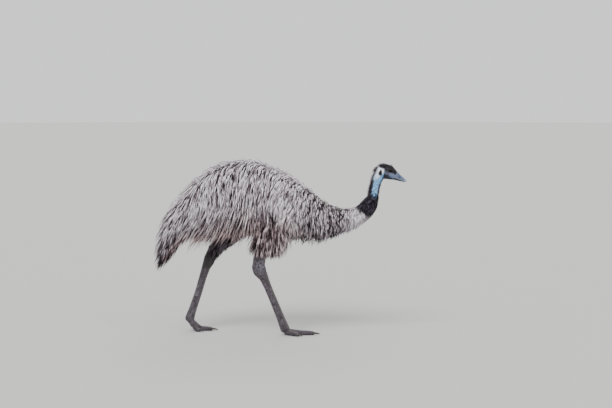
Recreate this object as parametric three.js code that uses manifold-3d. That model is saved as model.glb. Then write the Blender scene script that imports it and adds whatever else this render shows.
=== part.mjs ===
import * as THREE from "three";
import { mergeVertices } from "three/addons/utils/BufferGeometryUtils.js";
import Module from "manifold-3d";

// A life-size emu walking with its neck held low, as a still museum model.
// Millimetres, +X towards the bill, +Y to the bird's left, +Z up, the floor at z = 0.

const wasm = await Module();
wasm.setup();

// Driving sizes
const GAP = 0.3; // between pieces that touch
const SLIVER = 0.01; // edges shorter than this, left by cuts, are closed up
const HEAD_AT = { x: 639, z: 981 }; // middle of the head, between the eyes
const HEAD_PITCH = THREE.MathUtils.degToRad(24); // the bill points down by this much
const EYE = { forward: 19, up: 15, side: 25.5, radius: 12.5 };
// The lids are one ring on the head round the eye: how thick, how long and how high it is drawn
const LID = { side: 32, radius: 11, thick: 2.6, long: 1.12, high: 0.95 };
// The ear opening, a cup sunk in the side of the head, whose rim is cut off flush
const EAR = { forward: -29, up: -17, side: 34, long: 11, wide: 7, deep: 7, wall: 2.2, hollow: 36, rim: 35.5 };
const NOSTRIL = { forward: 90, up: 3, side: 15.4, long: 8, high: 2.6, deep: 5 };
// The corner of the mouth, a groove from the bill to below the eye
const MOUTH = { forward: 41, up: -14.5, side: 30, long: 46, deep: 10, high: 1.4, tilt: 0.06 };
const TOE_SPLAY = THREE.MathUtils.degToRad(31);
const TRUNK_POWER = { top: 1.85, bottom: 2.1 }; // the back is a little roof-like, the belly round
const ROUND = { top: 2, bottom: 2 };

// The trunk's core from the tail to the top of the neck. up and down are its reach to the back and the
// belly, half its half width, lift the coat's depth over it, and sweep how far the feathers lie backwards.
const TRUNK = [
  { at: "tail end", x: -699, z: 489, up: 36, down: 34, half: 27, lift: 20, sweep: 0.9 },
  { at: "tail", x: -669, z: 555, up: 68, down: 58, half: 54, lift: 21, sweep: 0.8 },
  { at: "tail root", x: -621, z: 621, up: 98, down: 78, half: 82, lift: 22, sweep: 0.66 },
  { at: "rump", x: -555, z: 675, up: 132, down: 98, half: 115, lift: 23, sweep: 0.54 },
  { at: "behind the hips", x: -471, z: 726, up: 170, down: 125, half: 148, lift: 24, sweep: 0.44 },
  { at: "hips", x: -375, z: 778, up: 209, down: 155, half: 179, lift: 24, sweep: 0.36 },
  { at: "loin", x: -279, z: 813, up: 225, down: 172, half: 196, lift: 24, sweep: 0.3 },
  { at: "top of the back", x: -177, z: 825, up: 226, down: 184, half: 201, lift: 24, sweep: 0.24 },
  { at: "behind the wings", x: -87, z: 814, up: 200, down: 190, half: 191, lift: 24, sweep: 0.18 },
  { at: "shoulders", x: 9, z: 774, up: 182, down: 175, half: 167, lift: 23, sweep: 0.14 },
  { at: "breast", x: 105, z: 733, up: 161, down: 152, half: 137, lift: 22, sweep: 0.12 },
  { at: "root of the neck", x: 198, z: 699, up: 134, down: 122, half: 109, lift: 20, sweep: 0.1 },
  { at: "thick of the neck", x: 285, z: 684, up: 107, down: 90, half: 81, lift: 17, sweep: 0.1 },
  { at: "shaggy neck", x: 372, z: 692, up: 76, down: 62, half: 59, lift: 15, sweep: 0.16 },
  { at: "behind the ruff", x: 453, z: 708, up: 55, down: 45, half: 45, lift: 13, sweep: 0.3 },
  { at: "ruff", x: 495, z: 732, up: 42, down: 41, half: 41, lift: 12, sweep: 0.5 },
  { at: "bend of the ruff", x: 531, z: 771, up: 40, down: 42, half: 38, lift: 11, sweep: 0.6 },
  { at: "top of the ruff", x: 557, z: 816, up: 33, down: 36, half: 32, lift: 8, sweep: 0.8 },
  { at: "bare neck", x: 567, z: 858, up: 33, down: 33, half: 29, lift: 3, sweep: 1 },
  { at: "upper neck", x: 576, z: 900, up: 32, down: 32, half: 28, lift: 3, sweep: 1 },
  { at: "throat", x: 591, z: 942, up: 36, down: 36, half: 31, lift: 3, sweep: 1 },
  { at: "inside the head", x: 612, z: 972, up: 34, down: 34, half: 29, lift: 3, sweep: 1 },
];
// Where the trunk is parted, as a share between the stations above
const CUT = { tail: 4, neckBase: 10, ruff: 14.6, neckUpper: 17.3, top: 21 };

// The small wings, which hang against the shoulders
const WING = [
  { x: 78, side: 148, z: 800, up: 26, down: 26, half: 14, lift: 5 },
  { x: 60, side: 166, z: 760, up: 32, down: 32, half: 18, lift: 6 },
  { x: 40, side: 172, z: 715, up: 32, down: 32, half: 17, lift: 7 },
  { x: 24, side: 170, z: 672, up: 24, down: 24, half: 12, lift: 8 },
  { x: 12, side: 164, z: 636, up: 12, down: 12, half: 7, lift: 8 },
];

// The legs from the hip down. up is their reach forwards, down backwards, side is out from the midline.
const THIGH_RIGHT = [
  { x: -15, side: 104, z: 735, up: 88, down: 98, half: 56, lift: 16 },
  { x: -38, side: 104, z: 655, up: 88, down: 95, half: 58, lift: 16 },
  { x: -58, side: 101, z: 592, up: 84, down: 86, half: 56, lift: 16 },
  { x: -82, side: 97, z: 537, up: 60, down: 60, half: 47, lift: 13 },
  { x: -106, side: 90, z: 484, up: 32, down: 48, half: 36, lift: 7 },
  { x: -115, side: 86, z: 434, up: 28, down: 45, half: 29, lift: 5 },
];
const THIGH_LEFT = [
  { x: -189, side: 104, z: 735, up: 85, down: 85, half: 56, lift: 14 },
  { x: -240, side: 104, z: 665, up: 72, down: 76, half: 55, lift: 14 },
  { x: -298, side: 101, z: 600, up: 57, down: 58, half: 48, lift: 12 },
  { x: -352, side: 96, z: 547, up: 46, down: 47, half: 41, lift: 8 },
  { x: -396, side: 90, z: 497, up: 38, down: 40, half: 35, lift: 5 },
  { x: -409, side: 87, z: 472, up: 33, down: 36, half: 29.5, lift: 5 },
];
const TARSUS_RIGHT = [
  { x: -114, side: 86, z: 436, up: 28, down: 45, half: 28 },
  { x: -117, side: 84, z: 412, up: 35, down: 48, half: 30 },
  { x: -114, side: 83, z: 385, up: 38, down: 41, half: 28 },
  { x: -96, side: 81, z: 350, up: 28, down: 27, half: 22 },
  { x: -70, side: 79, z: 290, up: 23, down: 22, half: 18 },
  { x: -33, side: 76, z: 200, up: 23, down: 22, half: 17 },
  { x: 3, side: 73, z: 110, up: 24, down: 23, half: 18.5 },
  { x: 22, side: 71, z: 62, up: 26, down: 26, half: 22 },
  { x: 33, side: 70, z: 34, up: 27, down: 27, half: 25 },
  { x: 38, side: 70, z: 22, up: 20, down: 20, half: 19 },
];
const TARSUS_LEFT = [
  { x: -408, side: 87, z: 474, up: 30, down: 34, half: 28 },
  { x: -424, side: 84, z: 450, up: 33, down: 38, half: 28 },
  { x: -438, side: 82, z: 425, up: 35, down: 32, half: 26 },
  { x: -453, side: 80, z: 392, up: 27, down: 25, half: 22 },
  { x: -473, side: 78, z: 330, up: 23, down: 22, half: 18 },
  { x: -501, side: 75, z: 235, up: 22, down: 22, half: 17 },
  { x: -530, side: 73, z: 150, up: 23, down: 23, half: 18.5 },
  { x: -546, side: 71, z: 102, up: 25, down: 26, half: 22 },
  { x: -555, side: 70, z: 74, up: 27, down: 27, half: 25 },
  { x: -557, side: 70, z: 60, up: 18, down: 18, half: 18 },
];

// Each toe from the ball of the foot: how far out along it, how high its middle, and its half thickness
const TOE_FLAT = {
  middle: [
    { out: 4, z: 22, r: 19 },
    { out: 45, z: 17, r: 17.5 },
    { out: 95, z: 13, r: 15.5 },
    { out: 140, z: 12, r: 14 },
    { out: 172, z: 10, r: 11.5 },
  ],
  side: [
    { out: 4, z: 20, r: 17 },
    { out: 38, z: 15, r: 15 },
    { out: 70, z: 12, r: 13.5 },
    { out: 96, z: 9.5, r: 10.5 },
  ],
};
const TOE_RAISED = {
  middle: [
    { out: 4, z: 66, r: 19 },
    { out: 34, z: 38, r: 17.5 },
    { out: 66, z: 16, r: 15.5 },
    { out: 105, z: 12, r: 14 },
    { out: 137, z: 10, r: 11.5 },
  ],
  side: [
    { out: 4, z: 64, r: 17 },
    { out: 30, z: 34, r: 15 },
    { out: 54, z: 14, r: 13.5 },
    { out: 78, z: 9.5, r: 10.5 },
  ],
};
// Each claw's length, and its rings: how far out as a share of that, how high and how thick against the
// end of its toe, and how far it points down in radians
const CLAW = { middle: 40, side: 27 };
const CLAW_RINGS = [
  { share: -0.18, up: 1, thick: 0.62, slope: 0 },
  { share: 0.45, up: 0.5, thick: 0.5, slope: 0.15 },
  { share: 0.85, up: -3.5, thick: 0.25, slope: 0.35 },
];
const TOE_BREADTH = 1.08; // a toe's width against its height

// The locks of the coat: how many, how long and wide, how thick in the middle, how deep the root is sunk,
// how far a lock may hang clear of the core, and how far its direction strays in radians.
const LOCKS = {
  torso: { count: 80, long: 200, wide: 104, thick: 5, sink: 40, hang: 78, stray: 0.22, seed: 11 },
  tail: { count: 22, long: 150, wide: 76, thick: 5, sink: 30, hang: 150, stray: 0.22, seed: 12 },
  neck_base: { count: 31, long: 145, wide: 80, thick: 4, sink: 26, hang: 40, stray: 0.25, seed: 13 },
  neck_ruff: { count: 20, long: 68, wide: 34, thick: 3, sink: 16, hang: 22, stray: 0.3, seed: 14 },
  thigh_right: { count: 18, long: 112, wide: 66, thick: 4, sink: 20, hang: 45, stray: 0.25, seed: 15 },
  thigh_left: { count: 16, long: 74, wide: 52, thick: 4, sink: 20, hang: 20, stray: 0.25, seed: 16 },
  wing_right: { count: 6, long: 92, wide: 30, thick: 3.5, sink: 6, hang: 90, stray: 0.25, seed: 17 },
  wing_left: { count: 6, long: 92, wide: 30, thick: 3.5, sink: 6, hang: 90, stray: 0.25, seed: 18 },
};
// A lock's outline: widest past the middle, then drawn in to a point
const LOCK_RINGS = [
  { share: 0, wide: 0.5, thick: 1 },
  { share: 0.42, wide: 1, thick: 1 },
  { share: 0.78, wide: 0.74, thick: 0.75 },
  { share: 1, wide: 0, thick: 0 },
];
const LOCK_VARIES = { long: 0.2, wide: 0.15 }; // from one lock to the next, as a share either way
const EDGE_DROP = 0.03; // a lock's edges lie lower than its middle by this share of its width
const THIGH_COAT = { right: [0.8, 2.9], left: [0.8, 3.6] }; // the stations between which thigh locks grow
const LAYERS = { count: 5, apart: 1 }; // neighbouring locks lie at slightly different depths
const BELLY = -0.72; // no lock grows where the skin faces further down than this
const CREASE = 14; // how softly the coat bridges the crease between two limbs
const GOLDEN_ANGLE = Math.PI * (3 - Math.sqrt(5));
// How a lock grows: rise is the power of its length by which it leaves the core, pull how gently one that
// hangs too far clear is drawn back at each step, turn how readily its blade turns to lie flat, and clear
// how far its root keeps from another limb.
const GROWTH = { steps: 4, rise: 0.75, pull: 1 / 6, turn: 0.4, clear: 5 };
const SCATTER = { along: 0.6, round: 0.3 }; // how unevenly the roots are spread

// The plates down the front of each shank, between two shares of its length, and how far they stand out
const SCUTES = { from: 2.4, to: 8, count: 12, raise: 1.8, cover: 0.93 };
// The plates along the top of each toe. cover is the share of its step that a plate takes.
const TOE_SCUTES = { middle: 6, side: 4, raise: 1.5, cover: 0.9 };

const vec = (x, y, z) => new THREE.Vector3(x, y, z);

// A closed mesh as a solid, with its faces turned outwards.
function solidOf(geometry) {
  const bare = new THREE.BufferGeometry().setAttribute("position", geometry.getAttribute("position"));
  const merged = mergeVertices(geometry.index ? bare.setIndex(geometry.index) : bare, 1e-4);
  const triVerts = new Uint32Array(merged.index.array);
  const vertProperties = new Float32Array(merged.attributes.position.array);
  const made = new wasm.Manifold(new wasm.Mesh({ numProp: 3, vertProperties, triVerts }));
  if (made.volume() >= 0) return made;
  for (let i = 0; i < triVerts.length; i += 3) {
    [triVerts[i + 1], triVerts[i + 2]] = [triVerts[i + 2], triVerts[i + 1]];
  }
  return new wasm.Manifold(new wasm.Mesh({ numProp: 3, vertProperties, triVerts }));
}

function closedSolid(position, index) {
  const points = new THREE.Float32BufferAttribute(position, 3);
  return solidOf(new THREE.BufferGeometry().setAttribute("position", points).setIndex(index));
}

// A Catmull-Rom value at t through the numbers.
function smooth(values, t) {
  const i = Math.min(Math.max(Math.floor(t), 0), values.length - 2);
  const f = t - i;
  const [b, c] = [values[i], values[i + 1]];
  const a = values[i - 1] ?? 2 * b - c;
  const d = values[i + 2] ?? 2 * c - b;
  const [square, cube] = [2 * a - 5 * b + 4 * c - d, 3 * b - a - 3 * c + d];
  return 0.5 * (2 * b + (c - a) * f + square * f ** 2 + cube * f ** 3);
}

// How far a rounded section reaches in a direction, a towards its back and b sideways.
function reach(section, a, b, power) {
  const length = Math.hypot(a, b) || 1;
  const n = a >= 0 ? power.top : power.bottom;
  const tall = a >= 0 ? section.up : section.down;
  return (Math.abs(a / length / tall) ** n + Math.abs(b / length / section.half) ** n) ** (-1 / n);
}

// A long round form through stations: the trunk, a leg or a wing. flow is 1 where the feathers lie towards
// its last station and -1 where they lie towards its first.
class Limb {
  constructor(stations, flow, power = ROUND) {
    this.power = power;
    this.flow = flow;
    this.last = stations.length - 1;
    this.columns = {};
    for (const key of ["x", "y", "z", "up", "down", "half", "lift", "sweep"]) {
      this.columns[key] = stations.map((s) => s[key] ?? 0);
    }
    this.samples = [];
    const each = 12;
    let area = 0;
    for (let k = 0; k <= this.last * each; k++) {
      const t = k / each;
      const c = this.middle(t);
      const girth = Math.PI * (this.value("up", t) + this.value("half", t));
      if (k > 0) area += girth * c.distanceTo(this.samples[k - 1].c);
      this.samples.push({ t, c, area });
    }
  }

  value(key, t) {
    return smooth(this.columns[key], t);
  }

  middle(t) {
    return vec(this.value("x", t), this.value("y", t), this.value("z", t));
  }

  section(t) {
    const step = 0.02;
    const along = this.middle(t + step).sub(this.middle(t - step)).normalize();
    const side = vec(0, 1, 0).addScaledVector(along, -along.y).normalize();
    const back = along.clone().cross(side);
    const sizes = {};
    for (const key of ["up", "down", "half", "lift", "sweep"]) sizes[key] = this.value(key, t);
    return { c: this.middle(t), along, side, back, ...sizes };
  }

  // The share at which the skin from the first station on reaches an area.
  shareAt(area) {
    const k = this.samples.findIndex((s) => s.area > area);
    if (k < 1) return k < 0 ? this.last : 0;
    const [a, b] = [this.samples[k - 1], this.samples[k]];
    return a.t + ((b.t - a.t) * (area - a.area)) / (b.area - a.area);
  }

  areaAt(t) {
    return this.samples[Math.round((t / this.last) * (this.samples.length - 1))].area;
  }

  nearest(p) {
    let best = this.samples[0];
    for (const s of this.samples) if (s.c.distanceToSquared(p) < best.c.distanceToSquared(p)) best = s;
    const found = this.section(best.t);
    const span = this.middle(best.t + 0.05).distanceTo(this.middle(best.t - 0.05)) / 0.1;
    const shift = p.clone().sub(found.c).dot(found.along) / span;
    return Math.min(Math.max(best.t + shift, 0), this.last);
  }

  // How far a point lies over the skin. Past an end the form is closed by a round cap.
  height(p) {
    const s = this.section(this.nearest(p));
    const from = p.clone().sub(s.c);
    const far = from.length();
    if (far < 1) return -s.half;
    const [a, b, past] = [from.dot(s.back), from.dot(s.side), from.dot(s.along)];
    const n = a >= 0 ? this.power.top : this.power.bottom;
    const tall = a >= 0 ? s.up : s.down;
    const full = Math.abs(a / tall) ** n + Math.abs(b / s.half) ** n + Math.abs(past / s.half) ** n;
    return far * (1 - full ** (-1 / n));
  }

  pointAt(t, angle) {
    const s = this.section(t);
    const [a, b] = [Math.cos(angle), Math.sin(angle)];
    const r = reach(s, a, b, this.power);
    return s.c.clone().addScaledVector(s.back, a * r).addScaledVector(s.side, b * r);
  }

  // The way the feathers lie at a point: along the limb where it is swept and under the belly, and
  // otherwise hanging.
  lie(p, normal, under) {
    const s = this.section(this.nearest(p));
    const swept = s.sweep + (1 - s.sweep) * under;
    const down = vec(0, 0, -1);
    down.addScaledVector(s.along, -down.dot(s.along) * Math.max(normal.z, 0));
    return s.along.multiplyScalar(this.flow * swept).addScaledVector(down, 1 - swept).normalize();
  }
}

// A closed skin over rings of a section each. Grown by the gap where a neighbour is to be cut clear of it.
function loft(sections, sides, { grow = 0, power = ROUND, startTip = 0, endTip = 0 } = {}) {
  const position = [];
  const index = [];
  const ends = [
    [sections[0], -1, startTip],
    [sections[sections.length - 1], 1, endTip],
  ];
  sections.forEach((s, k) => {
    const push = k === 0 ? -grow : k === sections.length - 1 ? grow : 0;
    for (let j = 0; j < sides; j++) {
      const angle = (2 * Math.PI * j) / sides;
      const [a, b] = [Math.cos(angle), Math.sin(angle)];
      const r = reach(s, a, b, power) + grow + (s.raise ?? 0) * Math.max(a, 0);
      const p = s.c.clone().addScaledVector(s.along, push);
      position.push(...p.addScaledVector(s.back, a * r).addScaledVector(s.side, b * r).toArray());
    }
  });
  for (let k = 0; k + 1 < sections.length; k++) {
    for (let j = 0; j < sides; j++) {
      const [p, q] = [k * sides + j, k * sides + ((j + 1) % sides)];
      index.push(p, q, p + sides, q, q + sides, p + sides);
    }
  }
  ends.forEach(([s, sign, tip], end) => {
    const middle = position.length / 3;
    position.push(...s.c.clone().addScaledVector(s.along, sign * (tip + grow)).toArray());
    const first = end * (sections.length - 1) * sides;
    for (let j = 0; j < sides; j++) {
      const [p, q] = [first + j, first + ((j + 1) % sides)];
      index.push(...(end ? [p, q, middle] : [q, p, middle]));
    }
  });
  return closedSolid(position, index);
}

// Sections of a limb with scutes: each plate stands out at its lower edge, over the next one.
function scuteSections(limb, from, to, count, raise) {
  return Array.from({ length: count }, (_, k) => {
    const t = from + ((to - from) * k) / count;
    const next = from + ((to - from) * (k + SCUTES.cover)) / count;
    return [limb.section(t), { ...limb.section(next), raise }];
  }).flat();
}

// Sections of a limb from one share of it to another, count of them in all.
function sectionsOf(limb, from, to, count) {
  return Array.from({ length: count }, (_, k) => limb.section(from + ((to - from) * k) / (count - 1)));
}

const union = (solids) => wasm.Manifold.union(solids);

// Closes up the very short edges that cuts leave, each where that keeps the surface whole.
function withoutSlivers(solid) {
  const { vertProperties: at, triVerts, numProp } = solid.getMesh();
  const faces = [];
  const facesOf = new Map();
  for (let i = 0; i < triVerts.length; i += 3) {
    const face = [...triVerts.subarray(i, i + 3)];
    faces.push(face);
    for (const v of face) facesOf.set(v, (facesOf.get(v) ?? new Set()).add(face));
  }
  const around = (v) => new Set([...facesOf.get(v)].flat().filter((other) => other !== v));
  const place = (v) => vec(at[v * numProp], at[v * numProp + 1], at[v * numProp + 2]);
  for (const face of faces) {
    for (let j = 0; j < 3 && face.length; j++) {
      const [a, b] = [face[j], face[(j + 1) % 3]];
      if (place(a).distanceTo(place(b)) > SLIVER) continue;
      const next = around(a);
      if ([...around(b)].filter((v) => next.has(v)).length !== 2) continue;
      for (const moved of facesOf.get(b)) {
        if (moved.includes(a)) {
          for (const v of moved) if (v !== b) facesOf.get(v).delete(moved);
          moved.length = 0;
        } else {
          moved[moved.indexOf(b)] = a;
          facesOf.get(a).add(moved);
        }
      }
      facesOf.delete(b);
    }
  }
  return closedSolid([...at].filter((_, i) => i % numProp < 3), faces.flat());
}

// The largest closed surface of a solid: a loose scrap left by a cut is dropped.
function largest(solid) {
  const whole = withoutSlivers(solid);
  return whole.decompose().reduce((a, b) => (b.volume() > a.volume() ? b : a));
}

const sided = (stations, sign) => stations.map(({ side, ...s }) => ({ ...s, y: sign * side }));

const trunk = new Limb(TRUNK, -1, TRUNK_POWER);

function makeLeg(sign, thigh, tarsus, toes) {
  return { sign, thigh: new Limb(sided(thigh, sign), 1), tarsus: new Limb(sided(tarsus, sign), 1), toes };
}

const legs = {
  right: makeLeg(-1, THIGH_RIGHT, TARSUS_RIGHT, TOE_FLAT),
  left: makeLeg(1, THIGH_LEFT, TARSUS_LEFT, TOE_RAISED),
};
const wings = { right: new Limb(sided(WING, -1), 1), left: new Limb(sided(WING, 1), 1) };
const body = [trunk, legs.right.thigh, legs.left.thigh];

// Random numbers between 0 and 1, the same each time the part is built.
function seeded(seed) {
  let state = seed;
  return () => {
    state = (state * 1664525 + 1013904223) % 2 ** 32;
    return state / 2 ** 32;
  };
}

// How far a point lies over several limbs, rounded off where one runs into another.
function heightOver(limbs, p) {
  return -CREASE * Math.log(limbs.reduce((sum, limb) => sum + Math.exp(-limb.height(p) / CREASE), 0));
}

function normalOver(limbs, p) {
  const step = 2;
  const at = (axis, way) => heightOver(limbs, p.clone().addScaledVector(axis, way * step));
  const slope = (axis) => at(axis, 1) - at(axis, -1);
  return vec(slope(vec(1, 0, 0)), slope(vec(0, 1, 0)), slope(vec(0, 0, 1))).normalize();
}

// One lock: it leaves its sunk root, rises through the coat along the lie, and hangs where the body ends.
function growLock(limb, limbs, root, style, random) {
  const either = () => 2 * random() - 1;
  const long = style.long * (1 + LOCK_VARIES.long * either());
  const wide = style.wide * (1 + LOCK_VARIES.wide * either());
  const stray = style.stray * either();
  const under = THREE.MathUtils.smoothstep(-root.normal.z, 0.15, 0.75);
  const p = root.p.clone().addScaledVector(root.normal, root.layer - style.sink);
  let normal = root.normal;
  const wayAt = () => limb.lie(p, normal, under).applyAxisAngle(normal, stray);
  let across = wayAt().cross(normal);
  let share = 0;
  return LOCK_RINGS.map((ring) => {
    const step = (ring.share - share) / GROWTH.steps;
    for (let k = 0; k < GROWTH.steps && step > 0; k++) {
      share += step;
      p.addScaledVector(wayAt(), long * step);
      normal = normalOver(limbs, p);
      const height = heightOver(limbs, p);
      const least = root.lift * share ** GROWTH.rise + root.layer;
      if (height < least) p.addScaledVector(normal, least - height);
      const most = Math.max(least, style.hang);
      if (height > most) p.addScaledVector(normal, (most - height) * GROWTH.pull);
    }
    const way = wayAt();
    across.addScaledVector(way.clone().cross(normal), GROWTH.turn);
    across = across.addScaledVector(way, -across.dot(way)).normalize();
    return { p: p.clone(), across: across.clone(), wide: wide * ring.wide, thick: style.thick * ring.thick };
  });
}

// The locks of a node, spread evenly over its skin by the golden angle, clear of what stands in their way.
function growLocks(name, limb, limbs, [from, to], blocked = []) {
  const style = LOCKS[name];
  const random = seeded(style.seed);
  const [first, area] = [limb.areaAt(from), limb.areaAt(to) - limb.areaAt(from)];
  const others = [...limbs.filter((other) => other !== limb), ...blocked];
  const locks = [];
  for (let i = 0; i < style.count; i++) {
    const scattered = i + 0.5 + SCATTER.along * (random() - 0.5);
    const t = limb.shareAt(first + (area * scattered) / style.count);
    const p = limb.pointAt(t, i * GOLDEN_ANGLE + SCATTER.round * random());
    const normal = normalOver([limb], p);
    if (normal.z < BELLY || (others.length && heightOver(others, p) < GROWTH.clear)) continue;
    const layer = ((i % LAYERS.count) - (LAYERS.count - 1) / 2) * LAYERS.apart;
    const root = { p, normal, lift: limb.value("lift", t), layer };
    locks.push(growLock(limb, limbs, root, style, random));
  }
  return locks;
}

// A lock as a closed, flat, three-sided blade with a ridge along its outer face. It can be moved sideways,
// out of its own plane and ahead.
function lockSolid(rings, aside = 0, off = 0, ahead = 0) {
  const position = [];
  const index = [0, 2, 1];
  const last = rings.length - 1;
  rings.forEach((ring, k) => {
    const way = rings[Math.min(k + 1, last)].p.clone().sub(rings[Math.max(k - 1, 0)].p).normalize();
    const across = ring.across.clone().addScaledVector(way, -ring.across.dot(way)).normalize();
    const normal = across.clone().cross(way);
    const c = ring.p.clone().addScaledVector(across, aside).addScaledVector(normal, off);
    c.addScaledVector(way, ahead);
    const drop = -EDGE_DROP * ring.wide;
    const corners = k === last ? [[0, 0]] : [[-ring.wide / 2, drop], [ring.wide / 2, drop], [0, ring.thick]];
    for (const [b, a] of corners) {
      position.push(...c.clone().addScaledVector(across, b).addScaledVector(normal, a).toArray());
    }
  });
  for (let k = 0; k < last; k++) {
    const [left, right, ridge] = [3 * k, 3 * k + 1, 3 * k + 2];
    if (k + 1 === last) {
      index.push(left, right, 3 * last, right, ridge, 3 * last, ridge, left, 3 * last);
    } else {
      // Every quad is split the same way, so that a twisted blade doesn't cross itself
      index.push(left, right, left + 3, right, right + 3, left + 3);
      index.push(right, ridge, ridge + 3, right, ridge + 3, right + 3);
      index.push(ridge, left, left + 3, ridge, left + 3, ridge + 3);
    }
  }
  return closedSolid(position, index);
}

const headAlong = vec(Math.cos(HEAD_PITCH), 0, -Math.sin(HEAD_PITCH));
const headUp = vec(Math.sin(HEAD_PITCH), 0, Math.cos(HEAD_PITCH));

function headPoint(forward, up, side = 0) {
  return vec(HEAD_AT.x, side, HEAD_AT.z).addScaledVector(headAlong, forward).addScaledVector(headUp, up);
}

// Sections across the head's own axis, from rows of forward, top, bottom and half width.
function headSections(rows) {
  return rows.map(([forward, top, bottom, half]) => ({
    c: headPoint(forward, (top + bottom) / 2),
    along: headAlong,
    side: vec(0, 1, 0),
    back: headUp,
    up: (top - bottom) / 2,
    down: (top - bottom) / 2,
    half,
  }));
}

const HEAD_ROWS = [
  [-64, -2, -22, 12],
  [-58, 10, -32, 23],
  [-42, 29, -46, 32],
  [-20, 39, -50, 36],
  [5, 43.5, -46, 37],
  [28, 42.5, -38, 34],
  [45, 37.5, -33, 27.5],
  [62, 29, -27, 22.5],
];
const BILL_UPPER_ROWS = [
  [62.3, 28, -13, 22],
  [76, 23, -12.5, 19.5],
  [90, 17.5, -12, 16.5],
  [104, 13, -11, 13],
  [118, 9, -9.8, 9.5],
  [130, 5, -8.8, 6.5],
  [137, 0, -8.5, 3.5],
];
const BILL_LOWER_ROWS = [
  [62.3, -13.8, -26, 20.5],
  [82, -13, -22, 16.5],
  [102, -11.8, -17.5, 12],
  [118, -10.8, -14.5, 8],
  [128, -10, -12.5, 4.5],
];

const turned = new THREE.Matrix4().makeBasis(headAlong, vec(0, 1, 0), headUp.clone());

// An ellipsoid in the head's own axes.
function headBall(forward, up, side, radii, segments = [12, 8]) {
  const ball = new THREE.SphereGeometry(1, ...segments);
  ball.scale(...radii).applyMatrix4(turned).translate(...headPoint(forward, up, side).toArray());
  return solidOf(ball);
}

function headSolid(grow) {
  return loft(headSections(HEAD_ROWS), 16, { grow, startTip: 2 });
}

const nodes = new Map();

// A node of the coat: a core and its locks in one closed body, cut clear of the nodes that lie over it.
class Coated {
  constructor(core, locks) {
    this.core = core;
    this.locks = locks;
  }

  solid() {
    return union([this.core(0), ...this.locks.map((rings) => lockSolid(rings))]);
  }

  // The room that its neighbours leave for it, a gap wider all round.
  room() {
    const moves = [[0, 0], [2 * GAP, 0], [-2 * GAP, 0], [0, GAP], [0, -GAP], [0, 0, GAP]];
    const moved = moves.map((move) => this.locks.map((rings) => lockSolid(rings, ...move)));
    return union([this.core(GAP), ...moved.flat()]);
  }

  clearOf(...others) {
    return largest(others.reduce((left, other) => left.subtract(other), this.solid()));
  }
}

// A length of the trunk's core, as many rings long and sides round as its size needs.
const trunkCore = (from, to, count, sides) => (grow) =>
  loft(sectionsOf(trunk, from, to, count), sides, { grow, power: TRUNK_POWER });

const limbCore = (limb, count, sides, caps) => (grow) =>
  loft(sectionsOf(limb, 0, limb.last, count), sides, { grow, ...caps });

const bothWings = Object.values(wings);
const coats = {
  torso: new Coated(
    trunkCore(CUT.tail, CUT.neckBase, 9, 16),
    growLocks("torso", trunk, body, [CUT.tail, CUT.neckBase], bothWings),
  ),
  tail: new Coated(trunkCore(0, CUT.tail, 6, 14), growLocks("tail", trunk, body, [0, CUT.tail])),
  neck_base: new Coated(
    trunkCore(CUT.neckBase, CUT.ruff, 7, 14),
    growLocks("neck_base", trunk, body, [CUT.neckBase, CUT.ruff], bothWings),
  ),
  neck_ruff: new Coated(
    trunkCore(CUT.ruff, CUT.neckUpper, 6, 12),
    growLocks("neck_ruff", trunk, [trunk], [CUT.ruff, CUT.neckUpper]),
  ),
};
for (const [name, { thigh }] of Object.entries(legs)) {
  const wing = wings[name];
  coats[`thigh_${name}`] = new Coated(
    limbCore(thigh, 7, 12),
    growLocks(`thigh_${name}`, thigh, [thigh, trunk], THIGH_COAT[name], bothWings),
  );
  coats[`wing_${name}`] = new Coated(
    limbCore(wing, 6, 10, { startTip: 8, endTip: 8 }),
    growLocks(`wing_${name}`, wing, [wing, trunk], [0.2, 4]),
  );
}

function buildCoats() {
  const rooms = Object.fromEntries(Object.entries(coats).map(([name, coat]) => [name, coat.room()]));
  const { torso, tail, neck_base: neckBase, neck_ruff: ruff } = rooms;
  const [wingRight, wingLeft] = [rooms.wing_right, rooms.wing_left];
  nodes.set("torso", coats.torso.clearOf(neckBase, wingRight, wingLeft));
  nodes.set("tail", coats.tail.clearOf(torso));
  nodes.set("neck_base", coats.neck_base.clearOf(ruff, wingRight, wingLeft));
  nodes.set("neck_ruff", coats.neck_ruff.clearOf());
  nodes.set("wing_right", coats.wing_right.clearOf());
  nodes.set("wing_left", coats.wing_left.clearOf());
  for (const name of ["right", "left"]) {
    nodes.set(`thigh_${name}`, coats[`thigh_${name}`].clearOf(torso, tail, neckBase, wingRight, wingLeft));
  }
  const neck = loft(sectionsOf(trunk, CUT.neckUpper, CUT.top, 8), 16, { power: TRUNK_POWER });
  nodes.set("neck_upper", largest(neck.subtract(ruff).subtract(headSolid(GAP))));
}

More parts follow.
